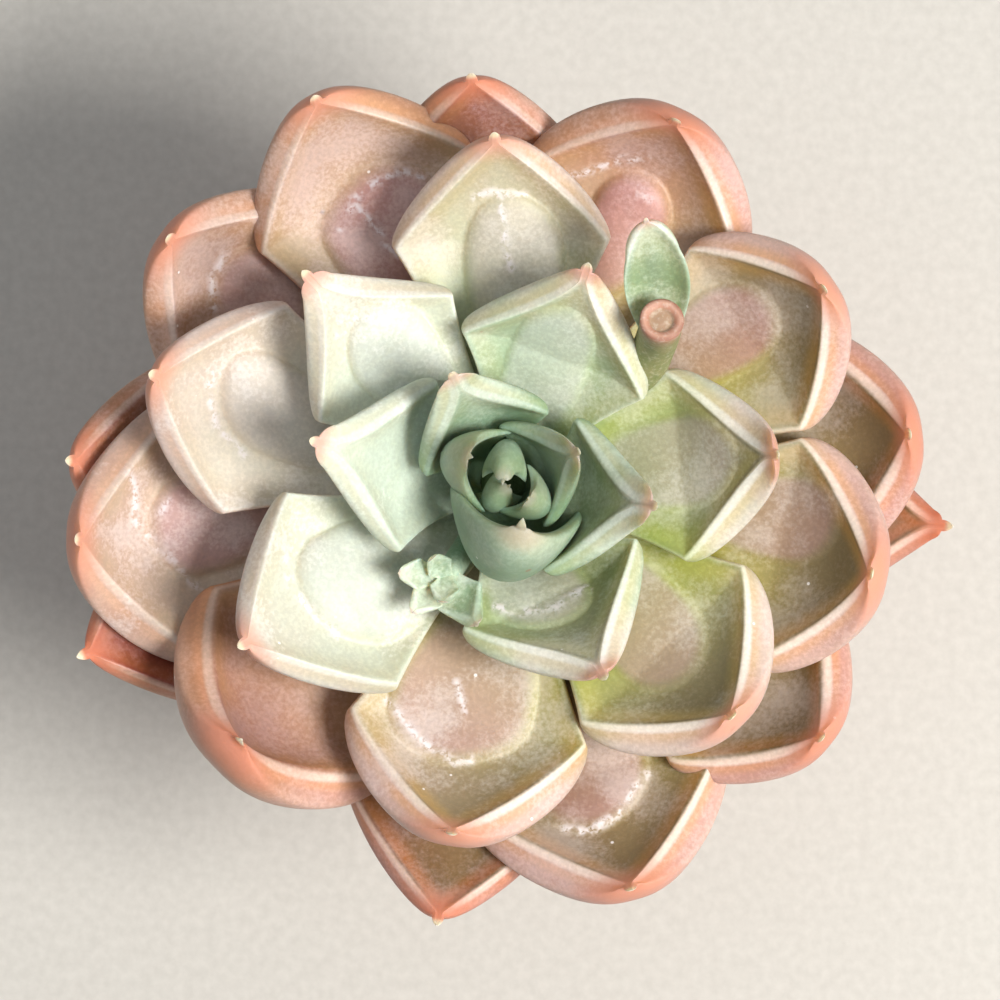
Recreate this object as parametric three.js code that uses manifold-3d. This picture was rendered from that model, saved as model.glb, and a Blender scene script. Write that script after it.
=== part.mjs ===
// A potted echeveria: a rosette of thick pointed leaves on a short stem, in a small clay pot.
// Millimetres, +Z up. The origin is the centre of the pot's flat base.
import * as THREE from 'three';
import { mergeVertices } from 'three/addons/utils/BufferGeometryUtils.js';
import Module from 'manifold-3d';

const wasm = await Module();
wasm.setup();

// Driving dimensions of the pot and its soil
const POT_HEIGHT = 48;
const POT_RIM_RADIUS = 28;
const POT_COLLAR_HEIGHT = 11;
const POT_COLLAR_STEP = 1.6;
const POT_BASE_RADIUS = 19;
const POT_WALL = 3;
const POT_FLOOR = 4;
const POT_EDGE = 0.9;
const POT_SIDES = 56;
const DRAIN_HOLE_RADIUS = 2.5;
const DRAIN_HOLE_PLACE = 9;
const DRAIN_HOLES = 3;
const SOIL_BELOW_RIM = 4;
const SOIL_SIDES = 40;
const SOIL_RINGS = 6;
const SOIL_GRIT = 0.7;
const WELD = 1e-4;

// Driving dimensions of the plant
const CLEARANCE = 0.3;
const ROSETTE_Z = 51;
const STEM_RADIUS = 5;
const STEM_TOP_RADIUS = 2;
const STEM_TOP = 12.8;
const STEM_TAPER_START = 1;
const STEM_IN_SOIL = 24;
const STEM_SIDES = 28;
const LOWEST_SEAT = 1.6;
const HIGHEST_SEAT = 12.2;
const CROWN_HEIGHT = 25;
const CROWN_FALL = 0.0092;
const LEAF_THICKNESS = 0.31;
const LEAF_LEAST_THICKNESS = 2.4;
const MUCRO_LENGTH = 1.2;
const MUCRO_SHARE = 0.12;
const STALK_RADIUS = 1.8;
const STALK_SIDES = 12;
const STALK_STEPS = 9;
const STUB_RADIUS = 1.1;
const STUB_SIDES = 10;
const STUB_STEPS = 4;

// The rosette's leaves from the heart outwards. turn is the way the leaf points, in degrees from +X
// towards +Y, and reach is how far its tip is from the stem's axis. width is its broadest, curl how
// steeply its tip rises, rise how steeply it leaves the stem, lean how far its end swings to its left,
// cup how far its sides bend round the heart, and lift raises or lowers its tip. aim is the turn of
// the tip's place, where that isn't the way the leaf points, and blunt marks a narrow leaf that ends
// bluntly all the same.
const LEAVES = [
  { turn: 225, reach: 0.3, aim: 300, width: 3.2, curl: 100, rise: 88, cup: 0.6, lift: -5.4 },
  { turn: 325, reach: 2.2, width: 4.8, curl: 84, rise: 80, cup: 0.8, lift: -3.8 },
  { turn: 84, reach: 0.4, aim: 150, width: 3.8, curl: 124, rise: 88, cup: 0.7, lift: -4.2 },
  { turn: 162, reach: 3.8, aim: 145, width: 7.4, curl: 92, rise: 52, cup: 0.9, lift: -1.8 },
  { turn: 24, reach: 6.2, width: 9.6, curl: 62, rise: 86, cup: 0.5, lift: -1.8 },
  { turn: 259, reach: 3.8, aim: 288, width: 11.4, curl: 106, rise: 10, cup: 0.8, lift: -1.2, blunt: true },
  { turn: 117, reach: 9.7, width: 12, curl: 54, rise: 72, cup: 0.3, lift: -0.6 },
  { turn: 340, reach: 12, aim: 351, width: 13.6, curl: 50, rise: 66, lean: 10, cup: 0.3, lift: 0 },
  { turn: 168, reach: 16, width: 15, curl: 42, lean: -6, cup: 0.22, lift: 0.2 },
  { turn: 287, reach: 17.6, aim: 296.5, width: 16.8, curl: 46, lean: 11, cup: 0.16, lift: 0 },
  { turn: 69.5, reach: 18.7, width: 16.6, curl: 42, lean: 4, lift: 0.4 },
  { turn: 6, reach: 22.4, width: 16.4, curl: 60, lift: 0 },
  { turn: 134, reach: 23.8, width: 15.8, curl: 38, lift: 0.2 },
  { turn: 216, reach: 25.6, aim: 211.5, width: 19.4, curl: 38, lean: -6, lift: 0.4 },
  { turn: 314, reach: 27, width: 19.6, curl: 62, lift: 0 },
  { turn: 92, reach: 28.8, width: 18.4, curl: 44, lean: 5, lift: 0.6 },
  { turn: 261, reach: 29.6, width: 20.8, curl: 60, lift: 0.6 },
  { turn: 163, reach: 31, width: 19, curl: 46, lean: -4, lift: 0.2 },
  { turn: 346, reach: 31.6, width: 20.4, curl: 66, lean: 4, lift: 0.2 },
  { turn: 31.5, reach: 31.2, width: 18.6, curl: 62, lean: 3, lift: 0.4 },
  { turn: 65, reach: 33.8, width: 21, curl: 62, lift: -0.2 },
  { turn: 321, reach: 34.4, width: 20, curl: 60, lift: -1.6 },
  { turn: 7, reach: 34.4, width: 20.6, curl: 62, lift: -0.8 },
  { turn: 287, reach: 36, width: 23.4, curl: 58, lean: -3, lift: -0.4 },
  { turn: 116.5, reach: 36.4, width: 20.6, curl: 50, lift: 0.4 },
  { turn: 190, reach: 36.8, aim: 187.5, width: 24, curl: 56, lean: -12, lift: 0.2 },
  { turn: 144, reach: 35.6, width: 21.6, curl: 56, lift: -1.4 },
  { turn: 224, reach: 31.4, width: 22.6, curl: 86, lift: 0 },
  { turn: 95, reach: 34.8, width: 19.6, curl: 44, lift: -3 },
  { turn: 177, reach: 37.6, width: 20.2, curl: 42, lift: -3.6 },
  { turn: 202, reach: 39.4, width: 19, curl: 28, lift: -3.4 },
  { turn: 354.5, reach: 38, width: 16.6, curl: 30, lift: -3.6 },
  { turn: 261, reach: 38, width: 19.2, curl: 36, lift: -3.4 },
];

// Where the cut flower stalk runs: distance from the axis, turn and height above the rosette's foot
const STALK_ROUTE = [
  [4.4, 30, 5.4],
  [9, 32, 7.4],
  [13.4, 36, 10.6],
  [17.4, 43.5, 16],
  [18.7, 46.5, 22],
];

// The bract's place along the stalk and its blade's way and size
const BRACT = {
  blunt: true,
  oval: true,
  placeOnStalk: 0.86,
  reach: [-1.3, 8.6, 5.2],
  turn: 92,
  lean: 14,
  rise: 20,
  curl: 44,
  cup: 0.3,
  width: 5.8,
  thickness: 1.8,
};

// The foot and the heart of the offset, and its own tiny leaves from its heart outwards
const OFFSET_FOOT = [3.6, 237, 8];
const OFFSET_PLACE = [9.4, 237, 14.6];
const OFFSET_LEAF_THICKNESS = 0.34;
const OFFSET_LEAVES = [
  { turn: 302, length: 5.6, width: 4.8, rise: 32 },
  { turn: 176, length: 4.8, width: 3, rise: 34 },
  { turn: 226, length: 4.8, width: 3.4, rise: 30 },
  { turn: 262, length: 3.6, width: 2.8, rise: 54 },
  { turn: 128, length: 3.4, width: 2.6, rise: 56 },
];

// The offset grows over the shoulder of the leaf after the first 9, the stalk under those after 11
const LEAVES_OVER_OFFSET = 9;
const LEAVES_OVER_STALK = 11;

// The leaves that are sage, then mint; the rest blush
const SAGE_LEAVES = 8;
const MINT_LEAVES = 16;

// Each blade's stations along it, with its shoulders at 1 and its tip at 2, and its points across the
// upper face and round the underside
const LEAF_MESH = {
  along: [0, 0.45, 0.8, 1, 1.35, 1.7, 1.92],
  top: [-1, -0.5, 0, 0.5, 1],
  below: [0.16, 0.38, 0.68, 1, 0.68, 0.38, 0.16],
};
const TINY_MESH = {
  along: [0, 0.6, 1, 1.6],
  top: [-1, 0, 1],
  below: [0.34, 1, 0.34],
};

// How far the shoulders are from the tip, as a share of the width, and how far the flanks swell past
// the rims, as a share of half the width: the least, and the gains of a curled and of a pointed leaf.
// Leaves as narrow as POINTED_WIDTH are fully pointed, those from BLUNT_WIDTH on are blunt.
const SHOULDER_FROM_TIP = 0.54;
const POINTED_TIP = 0.2;
const FLANK_LEAST = 0.12;
const FLANK_GAIN = 0.23;
const POINTED_GAIN = 0.14;
const POINTED_WIDTH = 14.6;
const BLUNT_WIDTH = 18.6;

const MATERIALS = {
  sage: { color: 0x93a487, roughness: 0.6 },
  mint: { color: 0xa9b694, roughness: 0.55 },
  blush: { color: 0xc98f77, roughness: 0.55 },
  bract: { color: 0xa6c79f, roughness: 0.6 },
  stalk: { color: 0x8b8464, roughness: 0.7 },
  stem: { color: 0x7d6a4c, roughness: 0.9 },
  soil: { color: 0x3b2c22, roughness: 1 },
  clay: { color: 0xb5694a, roughness: 0.9 },
};

function radians(degrees) {
  return (degrees * Math.PI) / 180;
}

function polar([distance, turn, height]) {
  const angle = radians(turn);
  return new THREE.Vector3(
    distance * Math.cos(angle),
    distance * Math.sin(angle),
    ROSETTE_Z + height,
  );
}

function heading(turn, rise) {
  const flat = Math.cos(radians(rise));
  return new THREE.Vector3(
    flat * Math.cos(radians(turn)),
    flat * Math.sin(radians(turn)),
    Math.sin(radians(rise)),
  );
}

// Solids

function welded(geometry) {
  geometry.deleteAttribute('normal');
  geometry.deleteAttribute('uv');
  return mergeVertices(geometry, WELD);
}

function toSolid(geometry) {
  const merged = welded(geometry);
  const mesh = new wasm.Mesh({
    numProp: 3,
    vertProperties: new Float32Array(merged.attributes.position.array),
    triVerts: new Uint32Array(merged.index.array),
  });
  return new wasm.Manifold(mesh);
}

function toGeometry(solid) {
  const mesh = solid.getMesh();
  const geometry = new THREE.BufferGeometry();
  geometry.setAttribute('position', new THREE.BufferAttribute(mesh.vertProperties, 3));
  geometry.setIndex(new THREE.BufferAttribute(mesh.triVerts, 1));
  return geometry;
}

function largestPiece(solid) {
  const pieces = solid.decompose();
  return pieces.reduce((best, piece) => (piece.volume() > best.volume() ? piece : best));
}

// The same closed shape, grown outwards by a margin, to keep its neighbours clear of it
function grown(geometry, margin) {
  const copy = welded(geometry.clone());
  copy.computeVertexNormals();
  const place = copy.attributes.position;
  const normal = copy.attributes.normal;
  for (let i = 0; i < place.count; i += 1) {
    place.setXYZ(
      i,
      place.getX(i) + margin * normal.getX(i),
      place.getY(i) + margin * normal.getY(i),
      place.getZ(i) + margin * normal.getZ(i),
    );
  }
  return copy;
}

// A closed skin over rings of equal length, with a flat fan at the start and a point at the end
function skin(rings, startCentre, endPoint) {
  const count = rings[0].length;
  const points = [startCentre, ...rings.flat(), endPoint];
  const last = points.length - 1;
  const faces = [];
  for (let i = 0; i < count; i += 1) {
    const next = (i + 1) % count;
    faces.push(0, 1 + next, 1 + i);
    for (let ring = 0; ring + 1 < rings.length; ring += 1) {
      const here = 1 + ring * count;
      const there = here + count;
      faces.push(here + i, there + next, there + i);
      faces.push(here + i, here + next, there + next);
    }
    const end = 1 + (rings.length - 1) * count;
    faces.push(end + i, end + next, last);
  }
  const geometry = new THREE.BufferGeometry().setFromPoints(points);
  geometry.setIndex(faces);
  return geometry;
}

// Blades: leaves, the bract and the offset's leaves share one form

// How pointed it is: the narrow leaves near the heart end in a drawn-out point, the broad ones bluntly
function pointed(blade) {
  if (blade.blunt) {
    return 0;
  }
  return 1 - THREE.MathUtils.clamp((blade.width - POINTED_WIDTH) / (BLUNT_WIDTH - POINTED_WIDTH), 0, 1);
}

// The upper face between its two sharp rims, as a share of the width: a kite with a narrow foot,
// cornered shoulders, and sides that run straight or hollow to the tip. The bract is a plain oval.
function rimBreadth(blade, along) {
  if (blade.oval) {
    return Math.sin(Math.PI * (0.14 + 0.86 * along)) ** 0.7;
  }
  if (along < blade.shoulder) {
    return 0.36 + 0.64 * (along / blade.shoulder) ** 1.6;
  }
  return (1 - pastShoulder(blade, along) ** 1.14) ** (1 + 1.1 * pointed(blade));
}

// How far along it is from the shoulders, at 0, to the tip, at 1
function pastShoulder(blade, along) {
  return Math.max(0, (along - blade.shoulder) / (1 - blade.shoulder));
}

// The underside's flanks swell out past the rims between shoulder and tip, most on a tip that curls up
// or is drawn out
function flankBreadth(blade, along) {
  const past = pastShoulder(blade, along);
  const curled = THREE.MathUtils.clamp((blade.curl - 35) / 30, 0, 1);
  const most = FLANK_LEAST + FLANK_GAIN * curled + POINTED_GAIN * pointed(blade);
  return 0.03 + most * 1.9 * past ** 0.8 * (1 - past) ** 0.5;
}

// How thick it is: thin at the stem, fullest at the shoulders, still stout near the tip
function fullness(blade, along) {
  if (along < blade.shoulder) {
    return 0.34 + 0.66 * Math.sin((Math.PI / 2) * (along / blade.shoulder)) ** 1.6;
  }
  const sharp = pointed(blade);
  return (1 - pastShoulder(blade, along) ** (2.6 - sharp)) ** (0.6 + 0.3 * sharp);
}

// The upper face's height against its rims: dished, with a swollen middle
function upperHeight(blade, along, across) {
  const dish = 0.24 * rimBreadth(blade, along) * Math.min(1, along / 0.3);
  const swelling = 0.16 * Math.exp(-(((along - blade.shoulder + 0.1) / 0.2) ** 2));
  const lie = dish * (Math.abs(across) ** 1.6 - 1) + swelling * Math.exp(-((across / 0.45) ** 2));
  return (blade.width / 2) * lie;
}

function bladeGeometry(blade, detail = LEAF_MESH) {
  const length = blade.foot.distanceTo(blade.tip);
  const path = new THREE.CubicBezierCurve3(
    blade.foot,
    blade.foot.clone().addScaledVector(heading(blade.turn, blade.rise), 0.36 * length),
    blade.tip.clone().addScaledVector(heading(blade.turn + blade.lean, blade.curl), -0.34 * length),
    blade.tip,
  );
  const tipPart = (SHOULDER_FROM_TIP + POINTED_TIP * pointed(blade)) * blade.width;
  const shaped = { ...blade, shoulder: THREE.MathUtils.clamp(1 - tipPart / length, 0.36, 0.7) };
  const half = blade.width / 2;
  const mucro = Math.min(MUCRO_LENGTH, MUCRO_SHARE * blade.width);
  const rings = detail.along.map((station) => {
    const along = THREE.MathUtils.lerp(Math.min(1, station) * shaped.shoulder, 1, Math.max(0, station - 1));
    const centre = path.getPoint(along);
    const forward = path.getTangent(along);
    const side = heading(blade.turn + blade.lean * along + 90, 0);
    const up = new THREE.Vector3().crossVectors(forward, side).normalize();
    side.crossVectors(up, forward);
    const rim = Math.max(mucro / 3, half * rimBreadth(shaped, along));
    const flank = rim + half * flankBreadth(shaped, along);
    const depth = Math.max(mucro / 3, blade.thickness * fullness(shaped, along));
    const place = (sideways, height) => {
      const bend = blade.cup * half * (sideways / half) ** 2;
      return centre.clone().addScaledVector(side, sideways).addScaledVector(up, height + bend);
    };
    const top = detail.top.map((across) => place(-rim * across, upperHeight(shaped, along, across)));
    const below = detail.below.map((round, index) => {
      const hand = index < (detail.below.length - 1) / 2 ? -1 : 1;
      const outwards = THREE.MathUtils.smoothstep(round, -0.05, 0.3);
      const inwards = Math.cos((Math.PI / 2) * Math.max(0, (round - 0.12) / 0.88)) ** 0.75;
      const reach = round === 1 ? 0 : (rim + (flank - rim) * outwards) * inwards;
      return place(hand * reach, -depth * Math.sin((Math.PI / 2) * round));
    });
    return [...top, ...below];
  });
  const point = blade.tip
    .clone()
    .addScaledVector(heading(blade.turn + blade.lean, blade.curl), mucro);
  const footCentre = rings[0]
    .reduce((sum, corner) => sum.add(corner), new THREE.Vector3())
    .divideScalar(rings[0].length);
  return skin(rings, footCentre, point);
}

function rosetteBlade(leaf, rank) {
  const share = rank / (LEAVES.length - 1);
  const seat = HIGHEST_SEAT + (LOWEST_SEAT - HIGHEST_SEAT) * share ** 0.9;
  const height = CROWN_HEIGHT - CROWN_FALL * leaf.reach ** 2 + leaf.lift;
  return {
    foot: polar([stemRadius(seat) - 1, leaf.turn, seat]),
    tip: polar([leaf.reach, leaf.aim ?? leaf.turn, height]),
    turn: leaf.turn,
    lean: leaf.lean ?? 0,
    rise: leaf.rise ?? 6 + 74 * (1 - share) ** 2.2,
    cup: leaf.cup ?? 0.06,
    curl: leaf.curl,
    width: leaf.width,
    thickness: Math.max(LEAF_LEAST_THICKNESS, LEAF_THICKNESS * leaf.width),
  };
}

// Stem and stalk

function stemRadius(height) {
  const above = THREE.MathUtils.clamp((height - STEM_TAPER_START) / (STEM_TOP - STEM_TAPER_START), 0, 1);
  return STEM_RADIUS + (STEM_TOP_RADIUS - STEM_RADIUS) * above;
}

function stemGeometry() {
  const profile = [new THREE.Vector2(0, ROSETTE_Z - STEM_IN_SOIL)];
  profile.push(new THREE.Vector2(STEM_RADIUS - 1, ROSETTE_Z - STEM_IN_SOIL));
  profile.push(new THREE.Vector2(STEM_RADIUS, ROSETTE_Z - STEM_IN_SOIL + 2));
  profile.push(new THREE.Vector2(STEM_RADIUS, ROSETTE_Z + STEM_TAPER_START));
  profile.push(new THREE.Vector2(STEM_TOP_RADIUS, ROSETTE_Z + STEM_TOP));
  profile.push(new THREE.Vector2(STEM_TOP_RADIUS * 0.6, ROSETTE_Z + STEM_TOP + 0.9));
  profile.push(new THREE.Vector2(0, ROSETTE_Z + STEM_TOP + 1.2));
  return new THREE.LatheGeometry(profile, STEM_SIDES).rotateX(Math.PI / 2);
}

function stalkRoute() {
  return new THREE.CatmullRomCurve3(STALK_ROUTE.map(polar));
}

function stalkGeometry(radius) {
  const outline = new THREE.Shape();
  outline.absarc(0, 0, radius, 0, 2 * Math.PI);
  return new THREE.ExtrudeGeometry(outline, {
    extrudePath: stalkRoute(),
    steps: STALK_STEPS,
    curveSegments: STALK_SIDES / 2,
  });
}

// The bract grows from the stalk's outer side, a little below the cut
function bractBlade() {
  const foot = stalkRoute().getPointAt(BRACT.placeOnStalk);
  return { ...BRACT, foot, tip: foot.clone().add(new THREE.Vector3(...BRACT.reach)) };
}

// The offset is one young bud: its leaves are grown together at the foot, on a short stub
function offsetSolid(margin) {
  const heart = polar(OFFSET_PLACE);
  const stubFoot = polar(OFFSET_FOOT);
  const outline = new THREE.Shape();
  outline.absarc(0, 0, STUB_RADIUS + margin, 0, 2 * Math.PI);
  const stub = new THREE.ExtrudeGeometry(outline, {
    extrudePath: new THREE.CatmullRomCurve3([stubFoot, stubFoot.clone().lerp(heart, 0.5), heart]),
    steps: STUB_STEPS,
    curveSegments: STUB_SIDES / 2,
  });
  let bud = toSolid(stub);
  for (const leaf of OFFSET_LEAVES) {
    const tip = heart.clone().addScaledVector(heading(leaf.turn, leaf.rise), leaf.length);
    const blade = {
      foot: heart.clone().addScaledVector(heading(leaf.turn, 0), -0.5),
      tip,
      turn: leaf.turn,
      lean: 0,
      cup: 0.3,
      rise: leaf.rise - 14,
      curl: leaf.rise + 26,
      width: leaf.width,
      thickness: OFFSET_LEAF_THICKNESS * leaf.width,
    };
    const geometry = bladeGeometry(blade, TINY_MESH);
    bud = bud.add(toSolid(margin > 0 ? grown(geometry, margin) : geometry));
  }
  return bud;
}

// Pot and soil

function lathe(outline, sides) {
  return new THREE.LatheGeometry(outline.map(([r, z]) => new THREE.Vector2(r, z)), sides).rotateX(Math.PI / 2);
}

function innerRadius(height) {
  const bottom = POT_BASE_RADIUS - POT_WALL;
  const top = POT_RIM_RADIUS - POT_COLLAR_STEP - POT_WALL + 0.6;
  return bottom + ((top - bottom) * (height - POT_FLOOR)) / (POT_HEIGHT - POT_FLOOR);
}

function potSolid() {
  const collarFoot = POT_HEIGHT - POT_COLLAR_HEIGHT;
  const body = POT_RIM_RADIUS - POT_COLLAR_STEP - 1;
  const outline = [
    [0, 0],
    [POT_BASE_RADIUS - POT_EDGE, 0],
    [POT_BASE_RADIUS, POT_EDGE],
    [body, collarFoot - POT_EDGE],
    [POT_RIM_RADIUS - 0.8, collarFoot],
    [POT_RIM_RADIUS, POT_HEIGHT - POT_EDGE],
    [POT_RIM_RADIUS - POT_EDGE, POT_HEIGHT],
    [innerRadius(POT_HEIGHT) + POT_EDGE, POT_HEIGHT],
    [innerRadius(POT_HEIGHT), POT_HEIGHT - POT_EDGE],
    [innerRadius(POT_FLOOR), POT_FLOOR],
    [0, POT_FLOOR],
  ];
  let pot = toSolid(lathe(outline, POT_SIDES));
  for (let i = 0; i < DRAIN_HOLES; i += 1) {
    const angle = (i * 2 * Math.PI) / DRAIN_HOLES;
    const hole = new THREE.CylinderGeometry(DRAIN_HOLE_RADIUS, DRAIN_HOLE_RADIUS, 3 * POT_FLOOR, 16);
    hole.rotateX(Math.PI / 2);
    hole.translate(DRAIN_HOLE_PLACE * Math.cos(angle), DRAIN_HOLE_PLACE * Math.sin(angle), 0);
    pot = pot.subtract(toSolid(hole));
  }
  return pot;
}

// The soil fills the pot to below its rim. Its top is raised and sunk in small lumps.
function soilSolid() {
  const top = POT_HEIGHT - SOIL_BELOW_RIM;
  const foot = POT_FLOOR + CLEARANCE;
  const holeRadius = STEM_RADIUS + CLEARANCE;
  const holeFoot = ROSETTE_Z - STEM_IN_SOIL - CLEARANCE;
  const outline = [[0, foot], [innerRadius(foot) - CLEARANCE, foot], [innerRadius(top) - CLEARANCE, top]];
  for (let ring = 1; ring <= SOIL_RINGS; ring += 1) {
    const outer = innerRadius(top) - CLEARANCE;
    outline.push([outer + ((holeRadius - outer) * ring) / SOIL_RINGS, top + 0.01 * ring]);
  }
  outline.push([holeRadius, holeFoot], [0, holeFoot]);
  const geometry = lathe(outline, SOIL_SIDES);
  const place = geometry.attributes.position;
  for (let i = 0; i < place.count; i += 1) {
    const x = place.getX(i);
    const y = place.getY(i);
    const inside = innerRadius(top) - 1 - Math.hypot(x, y);
    if (place.getZ(i) > top && inside > 0) {
      const lump = Math.sin(1.7 * x + 0.6 * y) * Math.cos(1.3 * y - 0.8 * x) + 0.5 * Math.sin(2.9 * y);
      place.setZ(i, top + SOIL_GRIT * lump);
    }
  }
  return toSolid(geometry);
}

// The whole object

const plant = new THREE.Group();

function addPiece(name, solid, look) {
  const mesh = new THREE.Mesh(toGeometry(solid), new THREE.MeshStandardMaterial({ metalness: 0, ...look }));
  mesh.name = name;
  plant.add(mesh);
}

addPiece('pot', potSolid(), MATERIALS.clay);
addPiece('soil', soilSolid(), MATERIALS.soil);
addPiece('stem', toSolid(stemGeometry()), MATERIALS.stem);

// The room of all that is in place already, clearance and all
const kept = [toSolid(grown(stemGeometry(), CLEARANCE))];

// What is already in place takes its room out of the piece, which keeps its largest part
function fitted(solid) {
  const box = solid.boundingBox();
  let cut = solid;
  for (const other of kept) {
    const away = other.boundingBox();
    const apart = [0, 1, 2].some((axis) => away.min[axis] > box.max[axis] || away.max[axis] < box.min[axis]);
    if (!apart) {
      cut = cut.subtract(other);
    }
  }
  return largestPiece(cut);
}

function addLeaf(leaf, rank) {
  const geometry = bladeGeometry(rosetteBlade(leaf, rank));
  const outer = rank < MINT_LEAVES ? MATERIALS.mint : MATERIALS.blush;
  const look = rank < SAGE_LEAVES ? MATERIALS.sage : outer;
  addPiece(`leaf_${String(rank + 1).padStart(2, '0')}`, fitted(toSolid(geometry)), look);
  kept.push(toSolid(grown(geometry, CLEARANCE)));
}

function addLeavesFrom(first, end) {
  LEAVES.slice(first, end).forEach((leaf, index) => addLeaf(leaf, first + index));
}

addLeavesFrom(0, LEAVES_OVER_OFFSET);
addPiece('offset_bud', fitted(offsetSolid(0)), MATERIALS.sage);
kept.push(offsetSolid(CLEARANCE));
addLeavesFrom(LEAVES_OVER_OFFSET, LEAVES_OVER_STALK);
addPiece('flower_stalk', fitted(toSolid(stalkGeometry(STALK_RADIUS))), MATERIALS.stalk);
kept.push(toSolid(stalkGeometry(STALK_RADIUS + CLEARANCE)));
const bract = bladeGeometry(bractBlade());
addPiece('stalk_bract', fitted(toSolid(bract)), MATERIALS.bract);
kept.push(toSolid(grown(bract, CLEARANCE)));
addLeavesFrom(LEAVES_OVER_STALK, LEAVES.length);

export default plant;
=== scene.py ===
# %% [markdown]
# # A potted echeveria
# An echeveria is a rosette of thick pointed leaves on a stem so short that it is rarely seen. This
# lesson dresses a imported CAD model of one: the solids stay where they are, and each leaf gets a
# finer piece in its own place, with its skin, its wax and the marks that other leaves pressed in it.
# The frame comes first. It is loaded, and nothing that it holds is moved.

# %% The frame
import math

import bpy
import numpy as np
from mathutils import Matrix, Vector


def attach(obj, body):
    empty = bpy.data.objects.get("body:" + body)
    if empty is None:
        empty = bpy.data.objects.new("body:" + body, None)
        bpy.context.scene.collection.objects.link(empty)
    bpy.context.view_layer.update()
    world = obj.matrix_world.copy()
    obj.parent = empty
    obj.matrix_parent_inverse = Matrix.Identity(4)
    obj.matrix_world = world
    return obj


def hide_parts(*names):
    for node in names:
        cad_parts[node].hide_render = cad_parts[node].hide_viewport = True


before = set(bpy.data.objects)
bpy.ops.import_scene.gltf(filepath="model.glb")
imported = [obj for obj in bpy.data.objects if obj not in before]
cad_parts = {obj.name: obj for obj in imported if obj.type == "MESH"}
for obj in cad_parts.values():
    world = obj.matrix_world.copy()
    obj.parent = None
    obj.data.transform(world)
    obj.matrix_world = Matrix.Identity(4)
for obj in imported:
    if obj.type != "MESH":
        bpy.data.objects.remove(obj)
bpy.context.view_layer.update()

MM = 0.001

# %% [markdown]
# ## The camera and the light
# The rosette is looked at from straight above, from 0.3 m, as anyone does who photographs a plant
# on a table. The floor is plain and pale. A broad lamp low on the right is the window that lights
# the leaves through their edges, and two weak ones keep the shaded side open.

# %% Camera, lamps and floor
CAMERA_PLACE = (-0.59 * MM, -1.43 * MM, 369 * MM)
CAMERA_LENS = 128.1


def add_lamp(name, place, aim, size, power, colour):
    bpy.ops.object.light_add(type="AREA", location=place)
    lamp = bpy.context.object
    lamp.name = name
    lamp.rotation_euler = (Vector(aim) - Vector(place)).to_track_quat("-Z", "Y").to_euler()
    lamp.data.size = size
    lamp.data.energy = power
    lamp.data.color = colour
    return lamp


bpy.ops.object.camera_add(location=CAMERA_PLACE, rotation=(0, 0, 0))
camera = bpy.context.object
camera.data.lens = CAMERA_LENS
camera.data.sensor_width = 36
camera.data.clip_start = 0.01
bpy.context.scene.camera = camera

HEART = (0, 0, 0.06)
add_lamp("window", (0.29, -0.09, 0.49), HEART, 0.2, 4.15, (1.0, 0.97, 0.92))
add_lamp("sky", (-0.1, 0.2, 0.6), HEART, 0.7, 0.9, (0.92, 0.97, 1.0))
add_lamp("wall", (-0.45, -0.3, 0.3), HEART, 0.5, 0.4, (1.0, 0.98, 0.95))

world = bpy.data.worlds.new("studio")
world.use_nodes = True
world.node_tree.nodes["Background"].inputs["Color"].default_value = (0.9, 0.95, 1.0, 1)
world.node_tree.nodes["Background"].inputs["Strength"].default_value = 0.16
bpy.context.scene.world = world
bpy.context.scene.view_settings.view_transform = "Standard"
print("camera at", [round(v, 4) for v in camera.location], "lamps", 3)

# %% [markdown]
# ## Small helpers for the materials
# Every finish here is a node tree, so a few helpers keep the trees short. `paint` turns a colour as
# a painter would name it on screen into the light values that Cycles works in. The others add one
# node each and return its result, and take either a number or another node's result.

# %% Material helpers
def paint(code):
    """A colour such as "#c6c3bd" as light values, by the sRGB curve."""
    shown = [int(code[i : i + 2], 16) / 255 for i in (1, 3, 5)]
    light = [c / 12.92 if c <= 0.04045 else ((c + 0.055) / 1.055) ** 2.4 for c in shown]
    return (*light, 1.0)


def feed(tree, socket, value):
    if isinstance(value, bpy.types.NodeSocket):
        tree.links.new(value, socket)
    elif isinstance(value, str):
        socket.default_value = paint(value)
    else:
        socket.default_value = value


def node(tree, kind, inputs=(), **settings):
    made = tree.nodes.new(kind)
    for key, value in settings.items():
        setattr(made, key, value)
    for key, value in dict(inputs).items():
        feed(tree, made.inputs[key], value)
    return made


def mixed(tree, amount, first, second):
    return node(tree, "ShaderNodeMix", {0: amount, 6: first, 7: second}, data_type="RGBA").outputs[2]


def sums(tree, kind, first, second=0.0):
    return node(tree, "ShaderNodeMath", {0: first, 1: second}, operation=kind).outputs[0]


def times(tree, first, second):
    return sums(tree, "MULTIPLY", first, second)


def mapped(tree, value, low, high, to_low=0.0, to_high=1.0, smooth=True):
    kind = "SMOOTHSTEP" if smooth else "LINEAR"
    sockets = {0: value, 1: low, 2: high, 3: to_low, 4: to_high}
    return node(tree, "ShaderNodeMapRange", sockets, interpolation_type=kind).outputs[0]


def ramp(tree, value, *stops):
    made = node(tree, "ShaderNodeValToRGB", {0: value})
    line = made.color_ramp
    while len(line.elements) < len(stops):
        line.elements.new(0.5)
    for element, (place, colour) in zip(line.elements, stops):
        element.position = place
        element.color = paint(colour)
    return made.outputs[0]


def noise(tree, where, scale, detail=2.0, rough=0.5, distortion=0.0):
    sockets = {"Vector": where, "Scale": scale, "Detail": detail}
    sockets |= {"Roughness": rough, "Distortion": distortion}
    return node(tree, "ShaderNodeTexNoise", sockets).outputs[0]


def spots(tree, where, scale):
    return node(tree, "ShaderNodeTexVoronoi", {"Vector": where, "Scale": scale})


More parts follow.
